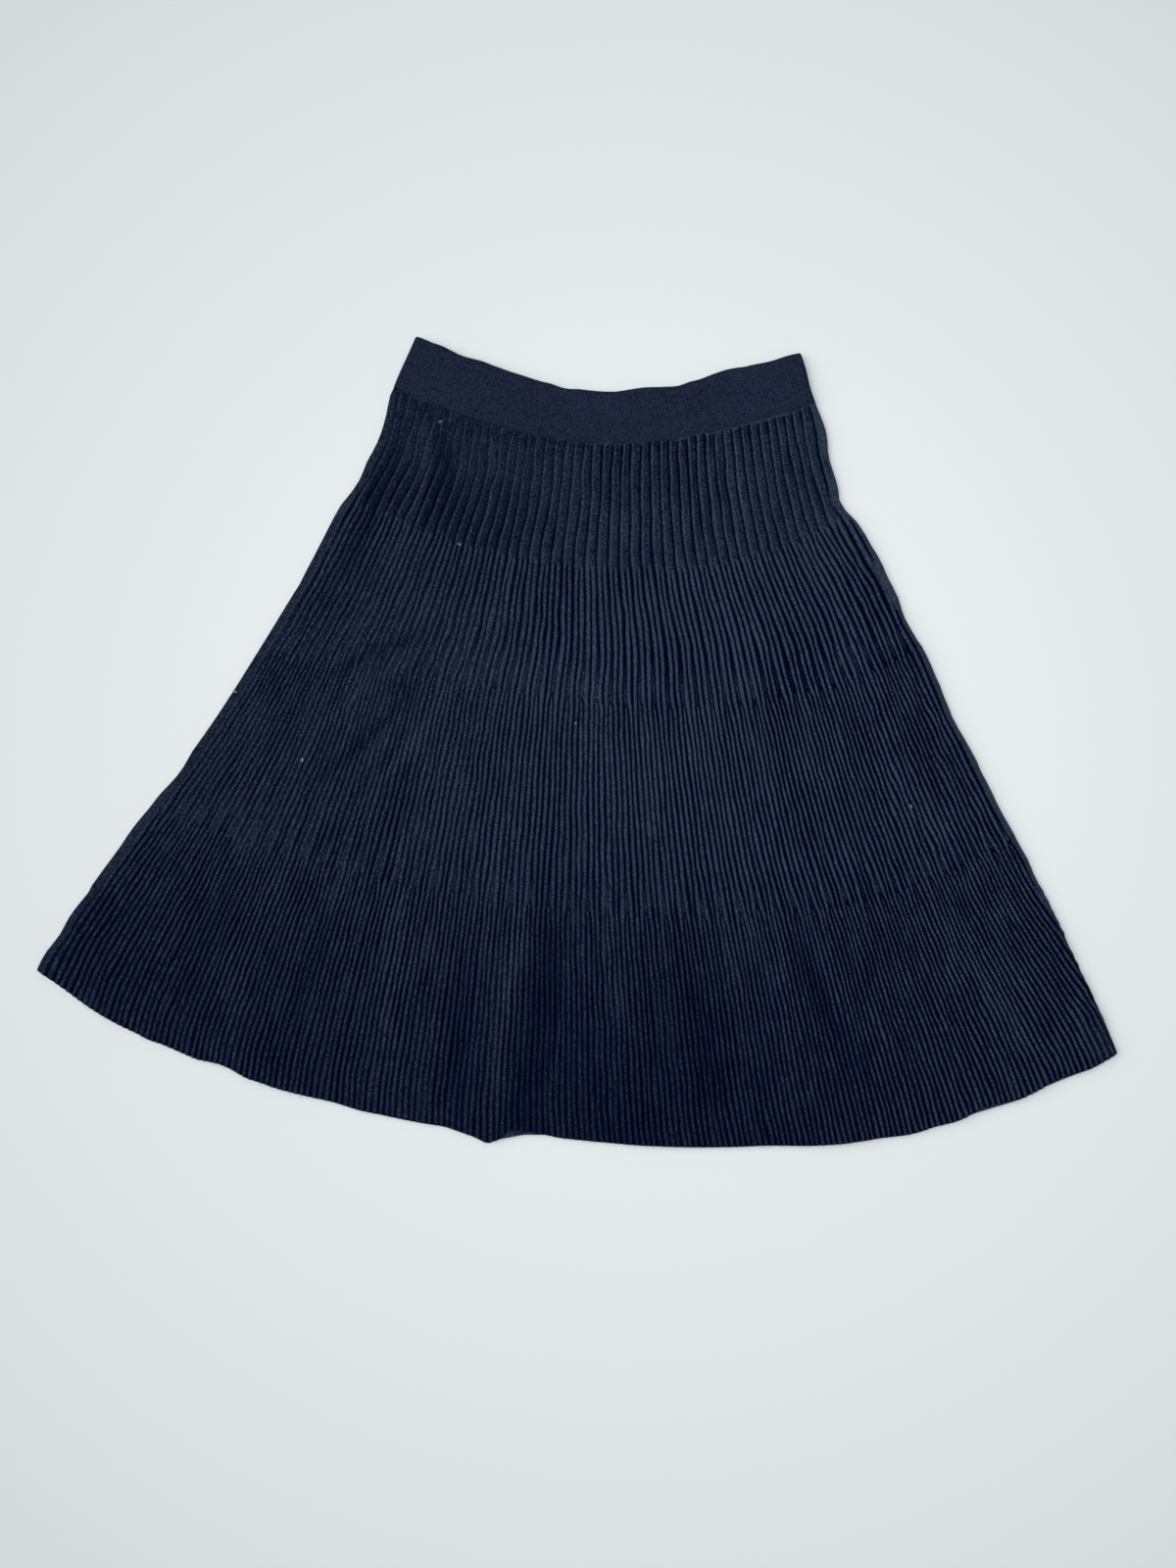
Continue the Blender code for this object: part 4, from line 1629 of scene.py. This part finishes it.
        # A painted shadow in a broken line just below the band's seam, and painted shade on the turning cloth
        # at the left fold
        seam = self.seam_broken.rise(self.seam_uneven.read(x, y)) * self.seam_ends.fall(down)
        turning = self.turning_darkness * (1 - strip) * self.turning_left.rise(-inside)
        dark = np.maximum(furrow * (1 - self.crumple_paler * rough), self.seam_darkness * seam) + turning
        return 1 - (1 - dark) * (1 - self.painted_shade.read(inside, down, self.plan.creases(x, y), clarity))

    def started(self, down: np.ndarray, late: np.ndarray) -> np.ndarray:
        """Where the ribs have started below the seam, from 0 to 1."""
        return self.rib_starts.rise(down - late)

    def outer(self, mesh: ClothMesh, rows: np.ndarray) -> np.ndarray:
        """Adds the outer face's points and faces.

        Args:
            mesh: the mesh that takes them.
            rows: the distances down the middle.

        Returns:
            The points' numbers.
        """
        down = rows[:, None]
        position = np.arange(REPEATS * self.samples + 1)[None, :] / self.samples
        base = 2 * position / REPEATS - 1
        base = base + self.crowding / math.pi * np.sin(math.pi * base)
        rough = self.crumple(base, down)
        late = 1.0 + self.late.read(*self.plan.place(base, down))
        across = self.rib_places(base, down)
        inside = np.clip(across, -1, 1)
        half = self.plan.half_width(down)
        side = (1 - np.abs(inside)) * half
        past = np.maximum(np.abs(across) - 1, 0) * half
        x, y = self.plan.place(inside, down)

        share = self.knit.profile(position, down) * (1 - (self.wear.size + self.wear.read(x, y)))
        share = share * (1 - rough * (self.flattened.size + self.flattened.read(x, y)))
        strip = self.smooth_strip(inside, down)
        clear = 1 + self.clear_height * self.clarity.read(inside, down)
        rib = self.knit.height(down) * strip * clear * share * self.started(down, late)
        rib = rib * straight_lines(self.rib_shares, down)
        wall = FRONT_WALL * straight_lines(self.wall_shares, down)
        top = BACK_WALL + LAYER_GAP + self.lift(inside, down, x, y) + wall + rib

        turn = np.clip(1 - side / FOLD_RADIUS, 0, 1)
        z = self.fold_middle + (top - self.fold_middle) * np.sqrt(1 - turn**2)
        under = np.sqrt(np.minimum(past / self.under_reach, 1))
        z = np.where(past > 0, self.fold_middle - (self.fold_middle - self.fold_bottom) * under, z)
        tuck = self.tuck_length * (1 - np.exp(-past / self.tuck_length))
        scallop = self.scallop * (share - self.scallop_level) * strip * self.scallop_down.rise(down)
        x = x + np.sign(inside) * (self.rib_bulge * rib * turn**2 - tuck)
        y = y - self.plan.hem_drop(inside, down) - scallop

        extra = ((0, 0), (len(self.wrap), len(self.wrap)))
        shade = np.pad(self.shade(share, late, inside, down, x, y, rough), extra, mode="edge")
        ids = mesh.grid(*self.wrapped((x, y, z), down), shade)
        wales = self.knit.wales(np.pad(position, extra, mode="edge")[0], rows)
        mesh.skin(ids, wales, rows / self.knit.COURSE)
        return ids

    def inner(self, mesh: ClothMesh, rows: np.ndarray) -> np.ndarray:
        """Adds the plain inner face, just inside the outer one.

        Args:
            mesh: the mesh that takes it.
            rows: the distances down the middle of the outer face's rows.

        Returns:
            The points' numbers.
        """
        top, bottom = self.inner_margins
        rows = np.concatenate([[BAND_SEAM - top], rows[2:-4:2], [HEM - bottom]])
        down = rows[:, None]
        inset = 1 - self.inner_inset / self.plan.half_width(down)
        across = np.linspace(-1, 1, self.inner_columns)[None, :] * inset
        x, y = self.plan.place(across, down)
        z = BACK_WALL + LAYER_GAP + self.lift(across, down, x, y)
        ids = mesh.grid(x, y - self.plan.hem_drop(across, down), z)
        mesh.skin(ids, x, rows / self.knit.COURSE, flip=True)
        return ids

    def build(self, material: bpy.types.Material) -> bpy.types.Object:
        """Builds the panel, hides the solid that it replaces and attaches it to the root body.

        Args:
            material: its finish.

        Returns:
            The piece.
        """
        mesh = ClothMesh()
        rows = self.rows.downs()
        mesh.close(self.outer(mesh, rows), self.inner(mesh, rows))
        piece = mesh.make("front_panel_knit", material)
        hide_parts("front_panel")
        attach(piece, "root")
        return piece


@dataclass
class BackPanel:
    """The back of the skirt, which lies on the surface with its ribs down."""

    plan: SkirtPlan
    knit: RibKnit
    rows: Rows = Rows(seam=(0.3, 1.5), tier=(1.0, 3.5), hem=(-0.8, 0.0), tier_margin=1.5, hem_margin=2.0,
                      step=10.5)
    samples: int = 16
    upper_columns: int = 49
    side_inset: float = 1.9
    side_rounding: float = 1.2
    furrow_depth: float = 0.5
    side_height: float = 0.5
    # How dark the painted shade in the underside's furrows is
    furrow_darkness: float = 1.1
    top_inset: float = 0.12
    # How far the edge at the hem is thinned, from below and from above
    thinned_below: Table = ((HEM - 2.0, 0.0), (HEM - 0.8, 0.1), (HEM, 0.45))
    thinned_above: Table = ((HEM - 2.0, 0.0), (HEM - 0.8, 0.08), (HEM, 0.4))
    wander: Waver = Waver(21, 6.0, 14.0, 0.3)
    uneven_hem: Waver = Waver(22, 14.0, 30.0, 0.35)
    uneven_down: Ramp = Ramp(HEM - 12, HEM)

    def place(self, across: np.ndarray, down: np.ndarray) -> tuple[np.ndarray, np.ndarray]:
        """Where points lie in plan, with the hem's unevenness.

        Args:
            across: places across.
            down: places down.

        Returns:
            Their x and y.
        """
        x, y = self.plan.place(across, down)
        return x, y - self.uneven_hem.read(x, y) * self.uneven_down.rise(down)

    def build(self, material: bpy.types.Material) -> bpy.types.Object:
        """Builds the panel, hides the solid that it replaces and attaches it to the root body.

        Args:
            material: its finish.

        Returns:
            The piece.
        """
        mesh = ClothMesh()
        rows = self.rows.downs()
        down = rows[:, None]
        half = self.plan.half_width(down)
        inset = 1 - self.side_inset / half
        position = np.arange(REPEATS * self.samples + 1)[None, :] / self.samples
        base = 2 * position / REPEATS - 1
        across = base * inset + (1 - base**2) * self.wander.read(*self.plan.place(base, down)) / half
        furrow = 1 - np.clip(self.knit.profile(position, down), 0, 1)
        side = (1 - np.abs(across)) * half - self.side_inset
        edge = np.sqrt(1 - np.clip(1 - side / self.side_rounding, 0, 1) ** 2)
        under = self.furrow_depth * furrow * edge + self.side_height * (1 - edge)
        under = under + straight_lines(self.thinned_below, down)
        shade = np.clip(self.furrow_darkness * furrow, 0, 1)
        lower = mesh.grid(*self.place(across, down), under, shade)
        x, y = self.place(np.linspace(-1, 1, self.upper_columns)[None, :] * inset, down)
        upper = mesh.grid(x, y, BACK_WALL - self.top_inset - straight_lines(self.thinned_above, down))
        mesh.skin(upper, x, rows / self.knit.COURSE)
        mesh.skin(lower, self.knit.wales(position[0], rows), rows / self.knit.COURSE, flip=True)
        mesh.close(upper, lower)
        piece = mesh.make("back_panel_knit", material)
        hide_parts("back_panel")
        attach(piece, "root")
        return piece


@dataclass
class Waistband:
    """The plain fine-knit band: a flattened tube with a rolled edge, open at the waist."""

    plan: SkirtPlan
    front_columns: int = 300
    bend_columns: int = 9
    wale: float = 0.9
    course: float = 0.75
    end: float = BAND_SEAM - 0.15
    lip: float = BAND_WALL / 2
    outer_step: float = 1.9
    outer_margin: float = 3.0
    outer_ends: tuple[float, ...] = (1.6, 0.7, 0.0)
    inner_step: float = 7.0
    # Half of the rolled edge: how far down each row lies and how far inside the outer face
    rolled: Table = ((0.42, 0.12), (0.12, 0.4))
    ripples: tuple[Waver, ...] = (Waver(31, 26.0, 12.0, 0.22), Waver(32, 7.0, 9.0, 0.10))
    pucker: Waver = Waver(33, 2.6, 30.0, 0.16)
    pucker_down: Ramp = Ramp(14.0, BAND_SEAM)
    seam_sinks: float = 0.75
    seam_down: Ramp = Ramp(BAND_SEAM - 2.6, BAND_SEAM)
    uneven_edge: Waver = Waver(34, 9.0, 9.0, 0.18)
    edge_down: Ramp = Ramp(0.0, 2.5)

    def loop(self, down: float, inset: float) -> tuple[np.ndarray, np.ndarray, np.ndarray, np.ndarray]:
        """One loop round the band, from the left fold along the front and back under.

        Args:
            down: its distance down the middle.
            inset: how far inside the outer face it lies.

        Returns:
            The places x, y and z, and the outward part of the front face's height there, from -1 to 1.
        """
        thick = 2 * BAND_WALL + BAND_HOLLOW
        radius = thick / 2 - inset
        reach = float(self.plan.half_width(np.array([down]))[0])
        bends = np.radians(np.linspace(180, 90, self.bend_columns))
        left_a = -1 + (inset + radius * (1 + np.cos(bends))) / reach
        left_z = np.sin(bends)
        front_a = np.linspace(left_a[-1], -left_a[-1], self.front_columns)[1:-1]
        half_a = np.concatenate([left_a, front_a, -left_a[::-1]])
        half_z = np.concatenate([left_z, np.ones(len(front_a)), left_z[::-1]])
        across = np.concatenate([half_a, half_a[1:-1][::-1]])
        up = np.concatenate([half_z, -half_z[1:-1][::-1]])
        x, y = self.plan.place(across, np.full(across.shape, max(down, 0.0)))
        return x, y, thick / 2 + radius * up, up

    def relief(self, x: np.ndarray, y: np.ndarray, up: np.ndarray, down: float) -> np.ndarray:
        """The band's slight ripples and the puckers above the ribs, on the face that shows.

        Args:
            x: places in plan.
            y: places in plan.
            up: the outward part of the front face's height there.
            down: the distance down the middle.

        Returns:
            The height to add at each place.
        """
        ripple = sum(waver.read(x, y) for waver in self.ripples)
        pucker = self.pucker.read(x, y) * float(self.pucker_down.rise(down))
        sunk = self.seam_sinks * float(self.seam_down.rise(down))
        return np.clip(up, 0, 1) ** 4 * (ripple + pucker - sunk)

    def levels(self) -> list[tuple[float, float]]:
        """The loops of the band, from the inner face's lower end over the rolled edge to the outer face's.

        Returns:
            For each loop, how far down it lies and how far inside the outer face.
        """
        inner = [(down, BAND_WALL) for down in even_rows(self.lip, self.end, self.inner_step)][::-1]
        mirrored = [(down, 2 * self.lip - inset) for down, inset in self.rolled]
        downs = even_rows(self.lip, self.end - self.outer_margin, self.outer_step)
        downs += [self.end - margin for margin in self.outer_ends]
        outer = [(down, 0.0) for down in downs]
        return [*inner, *mirrored, (0.0, self.lip), *self.rolled[::-1], *outer]

    def build(self, material: bpy.types.Material) -> bpy.types.Object:
        """Builds the band, hides the solid that it replaces and attaches it to the root body.

        Args:
            material: its finish.

        Returns:
            The piece.
        """
        mesh = ClothMesh()
        grids = []
        for down, inset in self.levels():
            x, y, z, up = self.loop(down, inset)
            z = z + self.relief(x, y, up, down)
            y = y + self.uneven_edge.read(x, np.zeros_like(x)) * self.edge_down.fall(down)
            grids.append((x, y, z))
        x, y, z = (np.array(rows) for rows in zip(*grids))
        ids = mesh.grid(x, y, z)
        ids = np.column_stack([ids, ids[:, 0]])
        steps = np.hypot(np.diff(x[-1], append=x[-1, 0]), np.diff(z[-1], append=z[-1, 0]))
        wales = np.concatenate([[0], np.cumsum(steps)]) / self.wale
        courses = np.array([down + inset for down, inset in self.levels()]) / self.course
        mesh.skin(ids, np.broadcast_to(wales, ids.shape), courses)
        mesh.join(Border.even(ids[-1], ids.shape[1] - 1), Border.even(ids[0], ids.shape[1] - 1))
        piece = mesh.make("waistband_knit", material)
        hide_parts("waistband")
        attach(piece, "root")
        return piece


@dataclass
class Fuzz:
    """Loose fibres that stand off the edges of the knit. Counts and mean lengths are for each edge."""

    plan: SkirtPlan
    front: FrontPanel
    seed: int = 41
    hem_count: int = 1500
    hem_length: float = 1.25
    waist_count: int = 330
    waist_length: float = 0.8
    side_count: int = 420
    side_length: float = 0.7
    longest: float = 3.6
    radius: float = 0.035
    steps: int = 4
    scatter: float = 0.55
    flatness: float = 0.5
    curl: float = 0.5
    lowest: float = 0.15
    highest: float = 1.0
    # How far across the hem and the waist edge they grow, and how far from the two ends of a side fold
    hem_reach: float = 0.99
    waist_reach: float = 0.98
    side_ends: tuple[float, float] = (10.0, 4.0)
    # How deep inside each edge their roots are, and how high
    hem_root: tuple[float, float] = (0.4, 2.2)
    waist_root: tuple[float, float] = (0.3, 3.1)
    side_root: tuple[float, float] = (0.2, 1.7)
    # How much their outward way tilts, and how far across the hem its direction is measured
    tilt: float = 0.1
    beside: float = 0.008

    def fibre(self, rng: np.random.Generator, root: Vector, away: Vector, length: float) -> list[Vector]:
        """The line of one curly fibre.

        Args:
            rng: the seeded generator.
            root: where it starts.
            away: the way that it grows.
            length: its length.

        Returns:
            Its points.
        """
        heading = away + Vector(rng.normal(0, self.scatter, 3).tolist())
        heading.z *= self.flatness
        curl = self.curl * Vector(rng.normal(0, self.scatter, 3).tolist())
        line = [root]
        for _ in range(self.steps):
            heading = (heading.normalized() + curl).normalized()
            point = line[-1] + heading * (length / self.steps)
            point.z = min(max(point.z, self.lowest), root.z + self.highest)
            line.append(point)
        return line

    def along(self, rng: np.random.Generator, strands: Strands, count: int, length: float,
              edge: Callable[[float], tuple[Vector, Vector]]) -> None:
        """Adds fibres along an edge.

        Args:
            rng: the seeded generator.
            strands: what takes them.
            count: how many.
            length: the mean length.
            edge: gives the root and the outward way at a share of the edge.
        """
        for _ in range(count):
            root, away = edge(float(rng.uniform(0, 1)))
            size = float(rng.gamma(3.0, length / 3.0))
            strands.add(self.fibre(rng, root, away, min(size, self.longest)), self.radius)

    def place(self, across: float, down: float) -> tuple[float, float]:
        """One place in plan."""
        x, y = self.plan.place(np.array([across]), np.array([down]))
        return float(x[0]), float(y[0])

    def hem_point(self, across: float) -> Vector:
        """A place on the front's hem, at the middle of its thickness.

        Args:
            across: the place across.

        Returns:
            The point.
        """
        a, d = np.array([across]), np.array([HEM])
        x, y = self.plan.place(a, d)
        y = y - self.plan.hem_drop(a, d)
        lift = self.front.lift(a, d, x, y)
        return Vector((float(x[0]), float(y[0]), self.hem_root[1] + float(lift[0])))

    def hem(self, share: float) -> tuple[Vector, Vector]:
        """The root and the outward way of a fibre on the hem.

        Args:
            share: how far along the hem it grows.

        Returns:
            The root and the way.
        """
        across = self.hem_reach * (2 * share - 1)
        here, beside = self.hem_point(across), self.hem_point(across + self.beside)
        way = beside - here
        return here + Vector((0, self.hem_root[0], 0)), Vector((way.y, -way.x, 0)).normalized()

    def waist(self, share: float) -> tuple[Vector, Vector]:
        """The root and the outward way of a fibre on the waist edge."""
        x, y = self.place(self.waist_reach * (2 * share - 1), 0.0)
        return Vector((x, y - self.waist_root[0], self.waist_root[1])), Vector((0, 1, self.tilt))

    def side(self, share: float) -> tuple[Vector, Vector]:
        """The root and the outward way of a fibre on the left fold, or on the right one from a half up.

        Args:
            share: how far along the two folds it grows.

        Returns:
            The root and the way.
        """
        sign = -1.0 if share < 0.5 else 1.0
        first, last = self.side_ends
        x, y = self.place(sign, first + (share % 0.5) * 2 * (HEM - first - last))
        outwards = Vector((sign, self.tilt, self.tilt))
        return Vector((x - sign * self.side_root[0], y, self.side_root[1])), outwards

    def build(self, material: bpy.types.Material) -> bpy.types.Object:
        """Builds the fibres of every edge as one piece.

        Args:
            material: their finish.

        Returns:
            The piece.
        """
        rng = np.random.default_rng(self.seed)
        strands = Strands()
        self.along(rng, strands, self.hem_count, self.hem_length, self.hem)
        self.along(rng, strands, self.waist_count, self.waist_length, self.waist)
        self.along(rng, strands, self.side_count, self.side_length, self.side)
        piece = strands.make("loose_edge_fibres", material)
        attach(piece, "root")
        return piece


@dataclass
class Lint:
    """A few specks of pale lint caught on the ribs. places holds the x, y and size of each."""

    plan: SkirtPlan
    front: FrontPanel
    places: tuple[tuple[float, float, float], ...] = (
        (-193.0, 14.8, 1.2), (-153.7, -20.7, 1.5), (-8.2, 6.1, 1.0), (-89.3, 168.3, 1.0), (-75.7, 100.8, 1.0),
        (173.8, -30.7, 1.0),
    )
    seed: int = 57
    fibres: int = 4
    steps: int = 4
    step_length: float = 0.26
    radius: float = 0.17
    scatter: float = 0.22
    curl: float = 0.6
    rise: float = 0.1
    stands_off: float = 0.05
    rib_top: float = FRONT_WALL + 0.95
    height_steps: int = 500

    def height(self, x: float, y: float) -> float:
        """The top of the ribs under a place in plan, found by stepping down the middle.

        Args:
            x: the place.
            y: the place.

        Returns:
            The height there.
        """
        down = np.linspace(BAND_SEAM, HEM, self.height_steps)
        left, right = self.plan.column("left", down), self.plan.column("right", down)
        across = np.clip(2 * (x - left) / (right - left) - 1, -1, 1)
        best = int(np.argmin(np.abs(self.plan.place(across, down)[1] - y)))
        a, d = across[best:best + 1], down[best:best + 1]
        return BACK_WALL + LAYER_GAP + self.rib_top + float(self.front.lift(a, d, *self.plan.place(a, d))[0])

    def build(self, material: bpy.types.Material) -> bpy.types.Object:
        """Builds the specks as one piece.

        Args:
            material: their finish.

        Returns:
            The piece.
        """
        rng = np.random.default_rng(self.seed)
        strands = Strands()
        for x, y, size in self.places:
            top = self.height(x, y)
            for _ in range(self.fibres):
                point = Vector((x, y, top)) + Vector(rng.normal(0, self.scatter, 3).tolist())
                point.z = top + self.stands_off
                line = [point]
                heading = Vector((*rng.normal(0, 1, 2).tolist(), self.rise)).normalized()
                for _ in range(self.steps):
                    turn = Vector((*rng.normal(0, self.curl, 2).tolist(), 0.0))
                    heading = (heading + turn).normalized()
                    line.append(line[-1] + heading * self.step_length * size)
                strands.add(line, self.radius * size)
        piece = strands.make("lint_specks", material)
        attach(piece, "root")
        return piece


# ---------------------------------------------------------------------------------------------------------
# The studio
# ---------------------------------------------------------------------------------------------------------


class Lamp(Enum):
    """The kinds of light in the studio."""

    WINDOW = "SUN"
    PANEL = "AREA"


@dataclass(frozen=True)
class SoftLight:
    """A soft light that points at the skirt. Its size is a width in metres, or an angle for a window."""

    name: str
    kind: Lamp
    place: tuple[float, float, float]
    size: float
    power: float
    colour: Colour = (1.0, 1.0, 1.0)

    def build(self) -> bpy.types.Object:
        """Makes the light.

        Returns:
            The light, in the scene.
        """
        data = bpy.data.lights.new(self.name, self.kind.value)
        if self.kind is Lamp.PANEL:
            data.shape = "DISK"
            data.size = self.size
        else:
            data.angle = self.size
        data.energy = self.power
        data.color = self.colour
        lamp = put_in_scene(self.name, data)
        lamp.location = self.place
        lamp.rotation_mode = "QUATERNION"
        lamp.rotation_quaternion = (-Vector(self.place)).to_track_quat("-Z", "Y")
        return lamp


@dataclass
class Studio:
    """A pale floor, soft light and the camera above the skirt. Sizes are in metres, and angles in degrees."""

    floor_colour: Colour = (0.80, 0.825, 0.83)
    floor_roughness: float = 0.9
    floor_reach: float = 3.0
    floor_height: float = -0.0004
    world_colour: Colour = (0.93, 0.97, 1.0)
    world_strength: float = 0.25
    camera_place: tuple[float, float, float] = (0.0017, -0.05906, 0.626)
    camera_tilt: float = 3.0
    camera_roll: float = 2.6
    lens: float = 26.55
    sensor: float = 36.0
    nearest: float = 0.01
    lights: tuple[SoftLight, ...] = (
        SoftLight("window_light", Lamp.WINDOW, (-2.3, 0.1, 1.9), 1.0, 1.95),
        SoftLight("ceiling_light", Lamp.PANEL, (0.03, 0.0, 0.74), 0.5, 2.6, (0.96, 0.99, 1.0)),
    )

    def floor(self) -> bpy.types.Object:
        """Makes the floor.

        Returns:
            The floor, in the scene.
        """
        mesh = bpy.data.meshes.new("floor")
        corners = [(x * self.floor_reach, y * self.floor_reach, self.floor_height)
                   for x, y in ((-1, -1), (1, -1), (1, 1), (-1, 1))]
        mesh.from_pydata(corners, [], [(0, 1, 2, 3)])
        mesh.materials.append(Finish("floor_finish", self.floor_colour, self.floor_roughness).material)
        made = put_in_scene("floor", mesh)
        return made

    def camera(self) -> bpy.types.Object:
        """Makes the camera, tilted and rolled as the view shows.

        Returns:
            The camera, in the scene.
        """
        data = bpy.data.cameras.new("view")
        data.lens = self.lens
        data.sensor_width = self.sensor
        data.clip_start = self.nearest
        made = put_in_scene("view", data)
        roll = Matrix.Rotation(math.radians(self.camera_roll), 4, "Z")
        tilt = Matrix.Rotation(math.radians(self.camera_tilt), 4, "X")
        made.matrix_world = Matrix.Translation(self.camera_place) @ roll @ tilt
        bpy.context.scene.camera = made
        return made

    def build(self) -> None:
        """Makes the studio."""
        self.floor()
        for light in self.lights:
            light.build()
        self.camera()
        world = bpy.data.worlds.new("room")
        world.use_nodes = True
        background = world.node_tree.nodes["Background"]
        background.inputs["Color"].default_value = (*self.world_colour, 1.0)
        background.inputs["Strength"].default_value = self.world_strength
        bpy.context.scene.world = world
        bpy.context.scene.view_settings.view_transform = "Standard"


def report(pieces: Iterable[bpy.types.Object]) -> None:
    """Logs each piece with its triangles.

    Args:
        pieces: the finished pieces.
    """
    for piece in pieces:
        triangles = sum(len(face.vertices) - 2 for face in piece.data.polygons)
        LOG.info("%s: %d triangles", piece.name, triangles)


def main() -> None:
    """Builds the studio, the finishes and the pieces, in order."""
    logging.basicConfig(level=logging.INFO, format="%(name)s: %(message)s")
    Studio().build()
    groups = {Effect.STITCHES: build_stitches(), Effect.TONE_AND_PAINTED_SHADE: build_tone_and_painted_shade(), Effect.FIBRES: build_fibres(),
              Effect.STRAND_TONE: build_strand_tone()}
    plan, knit = SkirtPlan(), RibKnit()
    front = FrontPanel(plan, knit)
    pieces = [
        front.build(FRONT_KNIT.material(groups)),
        BackPanel(plan, knit).build(BACK_KNIT.material(groups)),
        Waistband(plan).build(BAND_KNIT.material(groups)),
        Fuzz(plan, front).build(LOOSE_FIBRE.material(groups)),
        Lint(plan, front).build(LINT.material(groups)),
    ]
    report(pieces)


if __name__ == "__main__":
    main()
